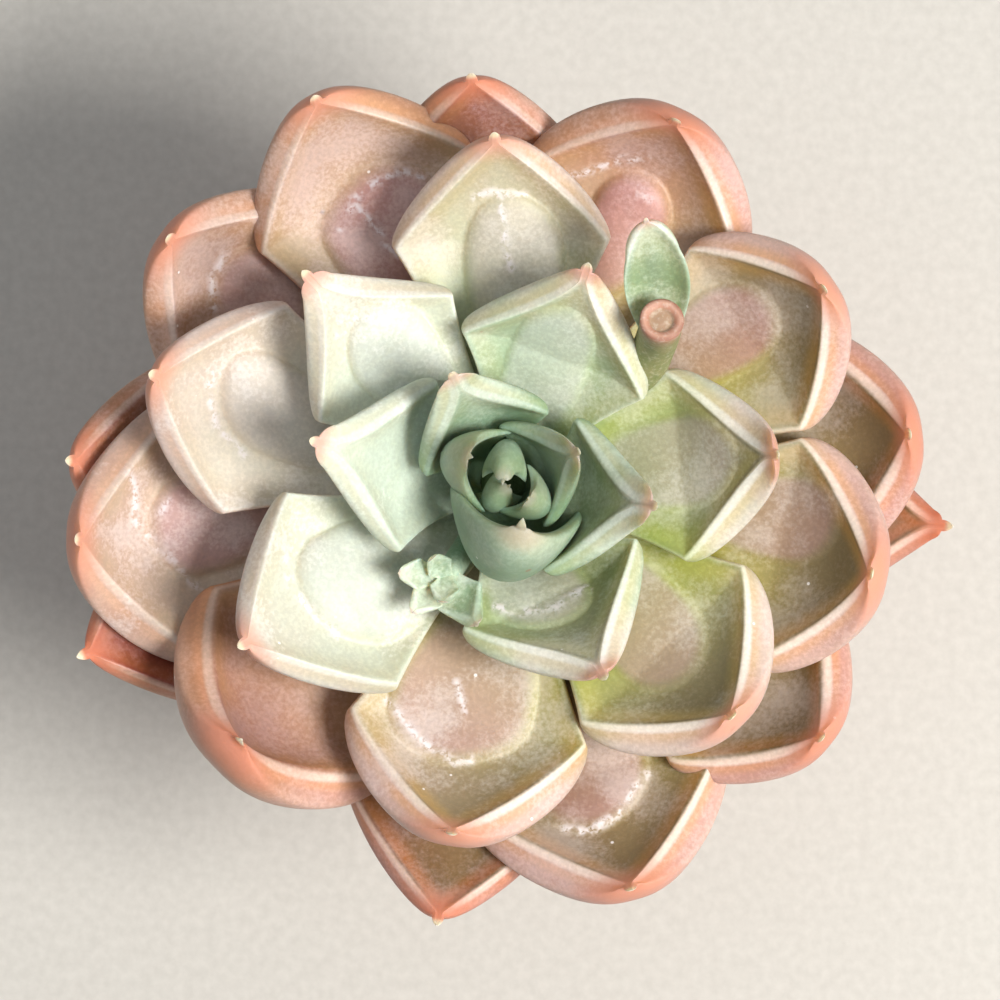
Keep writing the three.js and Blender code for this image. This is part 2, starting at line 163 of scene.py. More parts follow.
def new_skin(name):
    material = bpy.data.materials.new(name)
    material.use_nodes = True
    tree = material.node_tree
    return material, tree, tree.nodes["Principled BSDF"], node(tree, "ShaderNodeTexCoord").outputs["Object"]


def bumped(tree, shader, heights):
    below = None
    for height, depth in heights:
        made = node(tree, "ShaderNodeBump", {"Height": height, "Distance": depth, "Strength": 1.0})
        if below is not None:
            tree.links.new(below, made.inputs["Normal"])
        below = made.outputs[0]
    tree.links.new(below, shader.inputs["Normal"])


print("helpers ready")

# %% [markdown]
# ## The floor
# A large plain sheet of pale card. It is a stage, so it isn't part of the object.

# %% Floor
bpy.ops.object.select_all(action="DESELECT")
bpy.ops.mesh.primitive_plane_add(size=4, location=(0, 0, 0))
floor = bpy.context.object
floor.name = "floor"
card, tree, shader, where = new_skin("pale_card")
grain = noise(tree, where, 900, 3)
feed(tree, shader.inputs["Base Color"], ramp(tree, grain, (0.3, "#c6c3bd"), (0.7, "#cfccc6")))
shader.inputs["Roughness"].default_value = 0.9
floor.data.materials.append(card)
print("floor laid")

# %% [markdown]
# ## How one leaf lies
# Every leaf follows one curved line from its foot at the stem to its tip. Four numbers say most of
# it: the way it turns, how far its tip reaches, how steeply it leaves the stem and how steeply its
# tip curls up. The same list is in the CAD source, so a fine leaf fills its solid's place. The last
# three numbers are about looks alone: how ripe its colour is, from the green heart at 0 to the
# coral edge at 1, how rosy its swelling is, and how much wax bloom is left on it. On the leaves on
# the left, whose faces meet the window's light, the high bloom is partly painted highlight.

# %% The leaves
# turn, reach, width, curl, lean, lift, ripeness, rose, wax bloom with painted highlight
LEAVES = [
    (225, 0.3, 3.2, 100, 0, -5.4, 0.00, 0.0, 0.3),
    (325, 2.2, 4.8, 84, 0, -3.8, 0.02, 0.0, 0.3),
    (84, 0.4, 3.8, 124, 0, -4.2, 0.00, 0.0, 0.3),
    (162, 3.8, 7.4, 92, 0, -1.8, 0.03, 0.0, 0.3),
    (24, 6.2, 9.6, 62, 0, -1.8, 0.05, 0.0, 0.3),
    (259, 3.8, 11.4, 106, 0, -1.2, 0.04, 0.0, 0.3),
    (117, 9.7, 12, 54, 0, -0.6, 0.10, 0.0, 0.35),
    (340, 12, 13.6, 50, 10, 0.0, 0.14, 0.05, 0.35),
    (168, 16, 15, 42, -6, 0.2, 0.20, 0.05, 0.95),
    (287, 17.6, 16.8, 46, 11, 0.0, 0.26, 0.1, 0.45),
    (69.5, 18.7, 16.6, 42, 4, 0.4, 0.28, 0.1, 0.5),
    (6, 22.4, 16.4, 60, 0, 0.0, 0.34, 0.15, 0.4),
    (134, 23.8, 15.8, 38, 0, 0.2, 0.32, 0.1, 0.95),
    (216, 25.6, 19.4, 38, -6, 0.4, 0.34, 0.12, 0.9),
    (314, 27, 19.6, 62, 0, 0.0, 0.44, 0.4, 0.4),
    (92, 28.8, 18.4, 44, 5, 0.6, 0.42, 0.3, 0.55),
    (261, 29.6, 20.8, 60, 0, 0.6, 0.56, 0.7, 0.55),
    (163, 31, 19, 46, -4, 0.2, 0.50, 0.35, 0.9),
    (346, 31.6, 20.4, 66, 4, 0.2, 0.60, 0.55, 0.4),
    (31.5, 31.2, 18.6, 62, 3, 0.4, 0.58, 0.8, 0.4),
    (65, 33.8, 21, 62, 0, -0.2, 0.72, 0.9, 0.4),
    (321, 34.4, 20, 60, 0, -1.6, 0.72, 0.4, 0.4),
    (7, 34.4, 20.6, 62, 0, -0.8, 0.74, 0.4, 0.4),
    (287, 36, 23.4, 58, -3, -0.4, 0.66, 0.75, 0.45),
    (116.5, 36.4, 20.6, 50, 0, 0.4, 0.62, 0.9, 0.5),
    (190, 36.8, 24, 56, -12, 0.2, 0.60, 0.9, 0.75),
    (144, 35.6, 21.6, 56, 0, -1.9, 0.66, 0.7, 0.5),
    (224, 31.4, 22.6, 86, 0, 0.0, 0.78, 0.4, 0.3),
    (95, 34.8, 19.6, 44, 0, -3.5, 0.84, 0.5, 0.4),
    (177, 37.6, 20.2, 42, 0, -3.6, 0.82, 0.5, 0.4),
    (202, 39.4, 19, 28, 0, -3.4, 0.98, 0.6, 0.2),
    (354.5, 38, 16.6, 30, 0, -3.6, 0.95, 0.6, 0.2),
    (261, 38, 19.2, 36, 0, -3.4, 0.90, 0.5, 0.3),
]
# Some leave the stem at their own angle, bend round the heart, or hold their tip to one side. The
# three numbers are rise, cup and the turn of the tip's place.
OWN_WAYS = {
    1: (88, 0.6, 300),
    2: (80, 0.8, 325),
    3: (88, 0.7, 150),
    4: (52, 0.9, 145),
    5: (86, 0.5, 24),
    6: (10, 0.8, 288),
    7: (72, 0.3, 117),
    8: (66, 0.3, 351),
    9: (None, 0.22, 168),
    10: (None, 0.16, 296.5),
    14: (None, 0.06, 211.5),
    26: (None, 0.06, 187.5),
}
ROSETTE_Z = 51
STEM_TOP = 12.8
LOWEST_SEAT, HIGHEST_SEAT = 1.6, 12.2


def heading(turn, rise):
    turn, rise = np.broadcast_arrays(np.radians(turn), np.radians(rise))
    flat = np.cos(rise)
    return np.stack([flat * np.cos(turn), flat * np.sin(turn), np.sin(rise)], axis=-1)


def polar(distance, turn, height):
    angle = math.radians(turn)
    return np.array([distance * math.cos(angle), distance * math.sin(angle), ROSETTE_Z + height])


def smooth(value, low, high):
    share = np.clip((value - low) / (high - low), 0, 1)
    return share * share * (3 - 2 * share)


def rosette_blade(number):
    turn, reach, width, curl, lean, lift, ripe, rose, bloom = LEAVES[number - 1]
    share = (number - 1) / (len(LEAVES) - 1)
    rise, cup, aim = OWN_WAYS.get(number, (None, 0.06, turn))
    if rise is None:
        rise = 6 + 74 * (1 - share) ** 2.2
    seat = HIGHEST_SEAT + (LOWEST_SEAT - HIGHEST_SEAT) * share**0.9
    stem = 5 - 3 * min(max((seat - 1) / (STEM_TOP - 1), 0), 1)
    return {
        "foot": polar(stem - 1, turn, seat),
        "tip": polar(reach, aim, 25 - 0.0092 * reach**2 + lift),
        "turn": turn,
        "lean": lean,
        "rise": rise,
        "cup": cup,
        "curl": curl,
        "width": width,
        "thickness": max(2.4, 0.31 * width),
        "ripe": ripe,
        "rose": rose,
        "bloom": bloom,
        "number": number,
    }


print("leaves listed:", len(LEAVES))

# %% [markdown]
# ## The leaf blank
# A leaf is a closed fleshy body with a pole at its foot and one at its tip, and a UV sphere has just
# that layout. So each leaf starts as a sphere with its poles along +Z. Its rings become the stations
# along the leaf, and its meridians run over the upper face, round a fleshy rim and back underneath.
# Most meridians are spent near the two rims, and most rings near the tip, where the form is crisp.

# %% The blank's stations
# the last rings make the small horny point at the tip, the mucro
MUCRO_RINGS = 6
# each size of sphere is made once, kept here and copied
BLANKS = {}


def leaf_blank(name, rings, over, under):
    """A unit sphere: rings along it, then `over` meridians on the upper face and `under` below."""
    count = over + under
    if (rings, over, under) not in BLANKS:
        bpy.ops.object.select_all(action="DESELECT")
        bpy.ops.mesh.primitive_uv_sphere_add(segments=count, ring_count=rings, radius=1)
        BLANKS[rings, over, under] = bpy.context.object
    blank = BLANKS[rings, over, under].copy()
    blank.data = blank.data.copy()
    bpy.context.collection.objects.link(blank)
    blank.name = blank.data.name = name
    place = np.empty(len(blank.data.vertices) * 3)
    blank.data.vertices.foreach_get("co", place)
    place = place.reshape(-1, 3)
    ring = rings - np.rint(np.arccos(np.clip(place[:, 2], -1, 1)) / math.pi * rings).astype(int)
    turn = np.rint(np.arctan2(place[:, 1], place[:, 0]) / (2 * math.pi) * count).astype(int) % count
    body = rings - MUCRO_RINGS
    share = np.clip((ring - 1) / (body - 1), 0, 1)
    along = 1 - (1 - share) ** 1.3
    past_tip = np.clip((ring - body) / MUCRO_RINGS, 0, 1)
    top = turn <= over
    sweep = np.sin(math.pi / 2 * (2 * turn / over - 1)) * 0.55 + (2 * turn / over - 1) * 0.45
    across = np.where(top, sweep, 0)
    lap = np.clip((turn - over) / under, 0, 1)
    round_ = np.where(top, 0, (1 - np.abs(2 * lap - 1)) ** 1.15)
    hand = np.where(top, 0, np.where(lap < 0.5, -1, 1))
    body_points = np.flatnonzero((ring > 0) & (ring < rings))
    order = body_points[np.lexsort((turn[body_points], ring[body_points]))]
    return blank, {
        "rows": order.reshape(rings - 1, count),
        "along": along,
        "past_tip": past_tip,
        "top": top,
        "across": across,
        "round": round_,
        "hand": hand,
        "pole": ring == 0,
    }


# %% [markdown]
# ## The form of a leaf
# The upper face is a kite between two fleshy rims: a narrow foot, broad shoulders, then sides that
# run nearly straight to the tip. The small leaves of the heart are more pointed than the broad ones,
# one of them is blunt, and the bract on the stalk is an oval. The underside is fuller. On a leaf that
# curls up, it swells out past the rims, so that from above each straight rim has a rounded facet
# outside it. The face is dished.

# %% The form's measures
BLUNT_LEAF = 6
BRACT_NUMBER = 40
OFFSET_NUMBER = 50
BLUNT_WIDTH = 18.6
POINTED_WITHIN = 4


def leaf_measures(blade, along):
    length = float(np.linalg.norm(blade["foot"] - blade["tip"]))
    oval = blade["number"] == BRACT_NUMBER
    sharp = min(max((BLUNT_WIDTH - blade["width"]) / POINTED_WITHIN, 0), 1)
    if oval or blade["number"] == BLUNT_LEAF:
        sharp = 0
    shoulder = min(max(1 - (0.54 + 0.2 * sharp) * blade["width"] / length, 0.36), 0.7)
    past = np.maximum(0, (along - shoulder) / (1 - shoulder))
    before = np.sin(math.pi / 2 * np.clip(along / shoulder, 0, 1))
    past_most = np.minimum(past, 1)
    towards_tip = (1 - past_most**1.14) ** (1 + 1.1 * sharp)
    rim = np.where(along < shoulder, 0.36 + 0.64 * (along / shoulder) ** 1.6, towards_tip)
    if oval:
        rim = np.maximum(0, np.sin(math.pi * (0.14 + 0.86 * along))) ** 0.7
    curled = min(max((blade["curl"] - 35) / 30, 0), 1)
    flank = 0.03 + (0.12 + 0.23 * curled + 0.14 * sharp) * 1.9 * past**0.8 * (1 - past_most) ** 0.5
    towards_tip = (1 - past_most ** (2.6 - sharp)) ** (0.6 + 0.3 * sharp)
    full = np.where(along < shoulder, 0.34 + 0.66 * before**1.6, towards_tip)
    return length, shoulder, past, rim, flank, full


def leaf_path(blade, along, length):
    foot, tip = blade["foot"], blade["tip"]
    first = foot + heading(blade["turn"], blade["rise"]) * 0.36 * length
    last = tip - heading(blade["turn"] + blade["lean"], blade["curl"]) * 0.34 * length
    t = along[:, None]
    s = 1 - t
    centre = s**3 * foot + 3 * s**2 * t * first + 3 * s * t**2 * last + t**3 * tip
    forward = s**2 * (first - foot) + 2 * s * t * (last - first) + t**2 * (tip - last)
    forward /= np.linalg.norm(forward, axis=1)[:, None]
    return centre, forward


def wobble(seed, x, y, waves=4):
    """A smooth made-up unevenness around 0, the same on every run."""
    chance = np.random.default_rng(seed)
    total = np.zeros_like(x)
    for _ in range(waves):
        a, b, c = chance.uniform(-1, 1, 3)
        total += np.sin(a * x + b * y + 6.3 * c)
    return total / waves


# %% [markdown]
# ## Pillows and creases
# In the bud each leaf was pressed against the next one in. That left a print on its face: a swollen
# pillow with a crisp edge towards the tip and a flat ledge between it and the rims. Towards the stem
# it runs out slowly under the next leaf. Each pillow is given by the place of its middle seen from
# above, half its length and breadth, the way it lies, and its height. The creases are broken lines of
# white wax, pushed up along the edge of a pillow when the leaf beside it moved. They are lines of
# places seen from above.

# %% Pillows and creases
# leaf: (x, y, half length, half breadth, turn in degrees, height), in mm
PILLOWS = {
    10: (2.8, -9.9, 4.6, 2.4, 8, 0.6),
    11: (3.8, 11.0, 4.0, 3.7, 70, 0.5),
    12: (15.6, 2.1, 4.2, 3.9, 90, 0.45),
    13: (-9.9, 11.4, 4.2, 3.9, 90, 1.1),
    14: (-12.7, -8.9, 5.9, 4.2, -35, 1.4),
    15: (12.5, -13.2, 4.9, 4.7, -45, 0.45),
    16: (0.6, 19.8, 5.1, 4.4, 100, 1.2),
    17: (-4.0, -19.6, 6.4, 4.7, 0, 1.1),
    18: (-20.7, 6.6, 5.1, 3.7, -60, 1.2),
    19: (24.7, -3.1, 4.2, 4.0, 0, 0.4),
    20: (19.5, 13.6, 4.2, 3.9, 0, 0.7),
    21: (10.9, 23.5, 3.7, 3.5, 90, 1.2),
    24: (7.4, -25.5, 5.7, 4.7, 45, 1.0),
    25: (-11.0, 23.4, 5.7, 4.2, 30, 1.4),
    26: (-27.6, -3.5, 4.7, 3.7, 90, 1.4),
    27: (-22.7, 17.5, 3.5, 2.9, 60, 1.0),
}
# leaf: lines of (x, y), in mm
CREASES = {
    10: [[(-1.0, -10.7), (1.1, -11.4), (4.5, -10.9), (7.0, -9.0)]],
    13: [[(-14.4, 12.5), (-13.7, 13.9), (-12.0, 14.4)]],
    14: [[(-18.9, -6.5), (-18.3, -9.0), (-16.6, -11.5), (-14.5, -13.2)]],
    16: [
        [(-2.7, 24.5), (-1.4, 25.0), (-0.3, 24.9), (1.5, 24.7)],
        [(-0.8, 24.7), (-0.2, 20.9), (0.4, 18.6)],
    ],
    17: [
        [(-10.3, -18.7), (-9.0, -20.8), (-6.9, -22.9), (-4.4, -24.2), (-3.1, -24.0)],
        [(-4.4, -17.5), (-3.7, -20.0)],
    ],
    18: [[(-25.5, 9.4), (-25.6, 7.4), (-24.9, 4.9), (-22.9, 2.4)]],
    21: [[(4.0, 26.8), (7.0, 27.2), (9.5, 28.1), (12.1, 28.4)], [(11.6, 26.0), (12.9, 25.1)]],
    24: [[(4.9, -30.3), (7.2, -30.6), (9.5, -29.3), (11.2, -26.7), (12.5, -25.5)]],
    25: [
        [(-13.7, 25.0), (-12.1, 23.4), (-10.7, 21.2), (-9.4, 20.2), (-8.3, 20.1)],
        [(-14.9, 22.6), (-13.7, 25.1), (-12.0, 26.6), (-9.2, 27.7), (-6.9, 26.8), (-6.0, 25.1)],
    ],
    26: [
        [(-33.0, 2.4), (-32.5, -0.2), (-32.5, -3.3), (-30.9, -5.3), (-29.3, -7.3), (-26.7, -9.9)],
        [(-30.1, -1.4), (-30.7, -2.7)],
    ],
    27: [[(-24.6, 20.1), (-25.6, 18.0), (-26.0, 15.4)]],
}


def pillow_of(number, along, x, y):
    """How far inside the pillow each point is, from 1 in its middle to 0 outside, and its height."""
    if number not in PILLOWS:
        return np.zeros_like(x), np.zeros_like(x)
    middle_x, middle_y, long, broad, turn, height = PILLOWS[number]
    east, north = x - middle_x, y - middle_y
    out_x, out_y = np.array([middle_x, middle_y]) / math.hypot(middle_x, middle_y)
    inwards = np.minimum(0, east * out_x + north * out_y) * 0.55
    east, north = east - inwards * out_x, north - inwards * out_y
    angle = math.radians(turn)
    u = east * math.cos(angle) + north * math.sin(angle)
    v = north * math.cos(angle) - east * math.sin(angle)
    far = np.hypot(u / long, v / broad) + 0.05 * wobble(number, u * 0.9, v * 0.9)
    inside = 1 - smooth(far, 0.72, 1.02)
    rise = (1 - np.clip(far, 0, 1) ** 2.4) ** 0.6
    return inside, 1.35 * height * rise * smooth(along, 0.2, 0.5)


def crease_of(number, x, y):
    """1 on a crease line, fading to 0 within a quarter of a millimetre."""
    mark = np.zeros_like(x)
    for line in CREASES.get(number, ()):
        for (x0, y0), (x1, y1) in zip(line, line[1:]):
            dx, dy = x1 - x0, y1 - y0
            t = np.clip(((x - x0) * dx + (y - y0) * dy) / (dx * dx + dy * dy), 0, 1)
            away = np.hypot(x - x0 - t * dx + 0.3 * wobble(7, 1.3 * x, 1.3 * y), y - y0 - t * dy)
            mark = np.maximum(mark, np.exp(-((away / 0.3) ** 2)))
    return mark


# %% [markdown]
# ## Shaping the blank
# Each point of the blank is now put in its place on the leaf. Cut across, a leaf is a dished upper
# face, a rim, a swollen flank and a rounded back. The points also carry what the skin needs to know:
# how far along they are, how far from the rim in millimetres, and whether they are on a pillow, a
# crease or the small horny point at the tip. A colour attribute holds four such numbers.

# %% Soft rims and colour attributes
SOFT_PASSES = 36


def paint_points(piece, name, *channels):
    layer = piece.data.color_attributes.new(name, "FLOAT_COLOR", "POINT")
    layer.data.foreach_set("color", np.stack(channels, axis=-1).astype(np.float32).ravel())


def soften_rims(place, at, rim, away):
    """Rounds the fleshy rims: each ring is smoothed along itself, within a millimetre of the rims."""
    rows = at["rows"]
    weight = (np.clip(rim / 2.4, 0, 1) * np.exp(-((away / 0.7) ** 2)))[rows][:, :, None]
    ring = place[rows]
    for _ in range(SOFT_PASSES):
        between = (np.roll(ring, 1, axis=1) + np.roll(ring, -1, axis=1)) / 2
        ring += 0.5 * weight * (between - ring)
    place[rows] = ring


# %% Shaping
def shape_leaf(blank, blade, at):
    along, past_tip = at["along"], at["past_tip"]
    half = blade["width"] / 2
    length, shoulder, past, rim_share, flank_share, full = leaf_measures(blade, along)
    centre, forward = leaf_path(blade, along, length)
    side = heading(blade["turn"] + blade["lean"] * along + 90, 0)
    up = np.cross(forward, side)
    up /= np.linalg.norm(up, axis=1)[:, None]
    side = np.cross(up, forward)
    mucro = min(1.2, 0.12 * blade["width"])
    seed = 100 + blade["number"]
    which_side = at["hand"] * 2.0 + np.sign(at["across"]) * 2
    rim = half * rim_share * (1 + 0.025 * wobble(seed, along * 9, which_side))
    rim = np.maximum(mucro / 4, rim)
    flank = rim + half * flank_share
    depth = np.maximum(mucro / 4, blade["thickness"] * full)

    dish = 0.24 * rim_share * np.minimum(1, along / 0.3)
    swell = 0.16 * np.exp(-(((along - shoulder + 0.1) / 0.2) ** 2))
    side_mm = rim * at["across"]
    if blade["number"] in PILLOWS:
        swell = swell * 0.3
    swell = swell * np.exp(-((at["across"] / 0.45) ** 2))
    face = half * (dish * (np.abs(at["across"]) ** 2.4 - 1) + swell)
    uneven = wobble(seed + 50, side_mm * 0.7, along * length * 0.7)
    face += 0.10 * uneven * (1 - np.abs(at["across"]) ** 4)

    outwards = smooth(at["round"], 0, 0.3)
    inwards = np.cos(math.pi / 2 * np.maximum(0, (at["round"] - 0.12) / 0.88)) ** 0.75
    reach = at["hand"] * (rim + (flank - rim) * outwards) * np.where(at["round"] >= 1, 0, inwards)
    sideways = np.where(at["top"], -rim * at["across"], reach)
    height = np.where(at["top"], face, -depth * np.sin(math.pi / 2 * at["round"]))
    height = height + blade["cup"] * half * (sideways / half) ** 2

    thin = np.cos(math.pi / 2 * past_tip) ** 0.8
    hook = mucro * past_tip**2 * 0.35
    place = centre + side * (sideways * thin)[:, None] + up * (height * thin + hook)[:, None]
    place += forward * (mucro * 1.15 * past_tip)[:, None]
    inside, pillow = pillow_of(blade["number"], along, place[:, 0], place[:, 1])
    crease = crease_of(blade["number"], place[:, 0], place[:, 1]) * at["top"]
    inside, pillow = inside * at["top"], pillow * at["top"] * smooth(rim - np.abs(side_mm), 0.2, 1.4)
    place += up * (pillow + 0.04 * crease)[:, None]
    soften_rims(place, at, rim, (1 - np.abs(at["across"])) * rim * at["top"] + depth * at["round"])
    place[at["pole"]] = blade["foot"] - up[at["pole"]] * (depth[at["pole"]] / 3)[:, None]
    blank.data.vertices.foreach_set("co", (place * MM).ravel())

    below = np.hypot(reach - at["hand"] * rim, depth * np.sin(math.pi / 2 * at["round"]))
    gap = np.where(at["top"], (1 - np.abs(at["across"])) * rim, -below)
    paint_points(blank, "places", along, gap, inside, past_tip + smooth(along, 0.985, 1))
    ripe, rose, bloom = [np.full_like(along, blade[key]) for key in ("ripe", "rose", "bloom")]
    paint_points(blank, "skin", ripe, rose, crease, bloom)
    blank.data.update()
    return blank


print("leaf form ready")

# %% [markdown]
# ## Dressing a piece
# Each finished piece gets its finish, its body and the CAD nodes that it stands for. Before
# that, a closed mesh is checked for lying the right way out.

# %% Dressing
def pick(*pieces):
    bpy.ops.object.select_all(action="DESELECT")
    for piece in pieces:
        piece.select_set(True)
    bpy.context.view_layer.objects.active = pieces[0]


def face_out(piece):
    """Turns a closed mesh the right way out: its volume, summed over its faces, must be positive."""
    mesh = piece.data
    mesh.calc_loop_triangles()
    place = np.empty(len(mesh.vertices) * 3)
    mesh.vertices.foreach_get("co", place)
    corners = np.empty(len(mesh.loop_triangles) * 3, dtype=int)
    mesh.loop_triangles.foreach_get("vertices", corners)
    a, b, c = place.reshape(-1, 3)[corners.reshape(-1, 3).T]
    if np.einsum("ij,ij->", a, np.cross(b, c)) < 0:
        mesh.flip_normals()


def dress(piece, material, slot, *nodes):
    """The last step of each piece: its finish, its body and the CAD nodes it stands for. slot is not used.
    """
    piece.data.materials.append(material)
    face_out(piece)
    pick(piece)
    bpy.ops.object.shade_smooth()
    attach(piece, "root")
    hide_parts(*nodes)
    print(piece.name, "faces:", len(piece.data.polygons))


print("dressing ready")

# %% [markdown]
# ## The leaf's skin
# A leaf's colour lies under clear skin in watery tissue, so light goes in and comes out again nearby:
# that is subsurface scattering. The flesh is green by the heart and ripens to peach and coral. Where
# a point lies on the leaf decides the rest: the faces, the flanks outside the rims, the pale rims
# themselves, the bands beside them and the pillows each have a line of colours of their own, from
# young to ripe. Light and shade are painted in as well. On the window's side the faces and pillows
# are painted darker olive and brown, as shade. Away from it the flanks are painted darker tan. The
# rims, the bands, the lips below the rims and the green by the foot carry painted highlight and glow
# on top of their own colours.

# %% Leaf colours
# For each zone: how ripe the leaf is, and the colour there
LEAF_COLOURS = {
    "face": [(0, "#7c997d"), (0.25, "#b5c6ab"), (0.5, "#c2b59b"), (0.75, "#b98f76"), (1, "#86402d")],
    "flank": [(0, "#78957a"), (0.25, "#bccab4"), (0.45, "#dccbbe"), (0.7, "#cba094"), (1, "#b97b6a")],
    "back": [(0, "#84a286"), (0.3, "#b9c6b2"), (0.6, "#cdbcb0"), (1, "#c89a88")],
    # rim: the pale rim's own colour, partly painted highlight
    "rim": [(0, "#a4bd9f"), (0.25, "#e9ebdc"), (0.5, "#f4e8da"), (1, "#eecbb8")],
    # glow: painted glow of light shining through the thin lip below the rim
    "glow": [(0, "#93ad84"), (0.3, "#cfc79a"), (0.6, "#d8a67e"), (1, "#c8825f")],
    # band: the ochre band beside the rim, partly painted glow
    "band": [(0, "#7f9a72"), (0.3, "#b1ad74"), (0.6, "#bd9a5c"), (1, "#b4703f")],
    # foot: the young green at the leaf's foot, partly painted glow
    "foot": [(0, "#7f9c7c"), (0.35, "#9aab4a"), (0.6, "#aaa433"), (1, "#a08636")],
    "tip": [(0, "#d0a39a"), (0.5, "#d99a82"), (1, "#cb7457")],
}
# For the pillows: how rosy the leaf is, and the colour there
PILLOW_COLOURS = [(0, "#c4d6c6"), (0.35, "#c9bcae"), (0.7, "#bd9793"), (1, "#bd7f80")]


def leaf_zones(tree, where, read, cloud):
    """The colour by zone, with painted shade and glow by the window's side, and how much it is on a rim."""
    along, gap, ripe = read["along"], read["gap"], read["ripe"]
    drift = sums(tree, "ADD", ripe, mapped(tree, cloud, 0.25, 0.75, -0.07, 0.07))
    drift = sums(tree, "ADD", drift, mapped(tree, along, 0.35, 1.0, -0.05, 0.12))
    zones = ("face", "flank", "back", "rim", "glow", "band")
    face, flank, back, rim, glow, band = [ramp(tree, drift, *LEAF_COLOURS[zone]) for zone in zones]
    dome = ramp(tree, read["rose"], *PILLOW_COLOURS)

    # lit_side runs from 0 away from the window to 1 towards it, at the right and lower right, by the
    # point's place. The colours mixed by it are painted light and shade.
    east, north = node(tree, "ShaderNodeSeparateXYZ", {0: where}).outputs[0:2]
    across = sums(tree, "SUBTRACT", times(tree, east, 0.85), times(tree, north, 0.45))
    lit_side = mapped(tree, across, -0.018, 0.02)
    # painted shade: the flanks of ripe leaves away from the window are darkened to tan
    shaded = mapped(tree, lit_side, 0.6, 0.1, 0.0, 0.8)
    flank = mixed(tree, times(tree, shaded, mapped(tree, ripe, 0.52, 0.62)), flank, "#b3805a")
    # painted shade: on the window's side the faces are darkened to olive and the pillows to brown, as if in
    # their own shadow
    face = mixed(tree, mapped(tree, lit_side, 0.3, 1, 0, 0.8), face, "#7a6c47")
    dome = mixed(tree, mapped(tree, lit_side, 0.3, 1, 0, 0.6), dome, "#8f655a")

    colour = mixed(tree, mapped(tree, gap, -5.5, -2.2), back, flank)
    # painted glow: the lip just below each rim takes the glow colour, as light shining through the thin
    # flesh
    lip = times(tree, mapped(tree, gap, -2.6, -1.1), mapped(tree, gap, -0.2, -0.8))
    colour = mixed(tree, times(tree, lip, 0.75), colour, glow)
    colour = mixed(tree, mapped(tree, gap, -0.25, 0.25), colour, face)
    # the band on the face beside each rim: its own ochre with painted glow, stronger on the window's side
    lit_band = times(tree, mapped(tree, gap, 0.4, 1.0), mapped(tree, gap, 3.2, 1.2))
    lit_band = times(tree, lit_band, mapped(tree, lit_side, 0, 1, 0.3, 0.75))
    colour = mixed(tree, lit_band, colour, band)
    colour = mixed(tree, times(tree, read["pillow"], 0.78), colour, dome)
    # the pale rim: its own colour with a painted highlight, stronger on the window's side
    rim_light = times(tree, mapped(tree, gap, -0.8, -0.1), mapped(tree, gap, 0.5, 0.05))
    colour = mixed(tree, times(tree, rim_light, mapped(tree, lit_side, 0, 1, 0.45, 0.8)), colour, rim)

    # painted glow: the green of the foot reaches further up the leaves on the window's side, as light
    # through the flesh. Nearer the foot it is the leaf's own young green.
    reach = times(tree, mapped(tree, along, 0.8, 0.35), times(tree, lit_side, 0.9))
    green_foot_and_glow = sums(tree, "MAXIMUM", times(tree, mapped(tree, along, 0.5, 0.15), 0.5), reach)
    green_foot_and_glow = times(tree, green_foot_and_glow, mapped(tree, ripe, 0.2, 0.34, 0.35, 1.0))
    green_foot_and_glow = times(tree, green_foot_and_glow, mapped(tree, read["pillow"], 0.9, 0.0, 0.35, 1.0))
    colour = mixed(tree, green_foot_and_glow, colour, ramp(tree, ripe, *LEAF_COLOURS["foot"]))
    return colour, rim_light


# %% [markdown]
# ## Wax and small marks
# Over the whole leaf lies a thin bloom of wax grains, rubbed off in places and pushed into chalky
# lines at the creases. A few crumbs lie on it and a few pits are brown. The tips blush, and end in a
# small horny point. All of it is noise and spots in the object's own coordinates. A thick bloom also
# whitens the leaves whose faces meet the window: partly wax, partly painted highlight. Near the
# heart the colour is darkened: painted shade in the deep middle of the rosette.

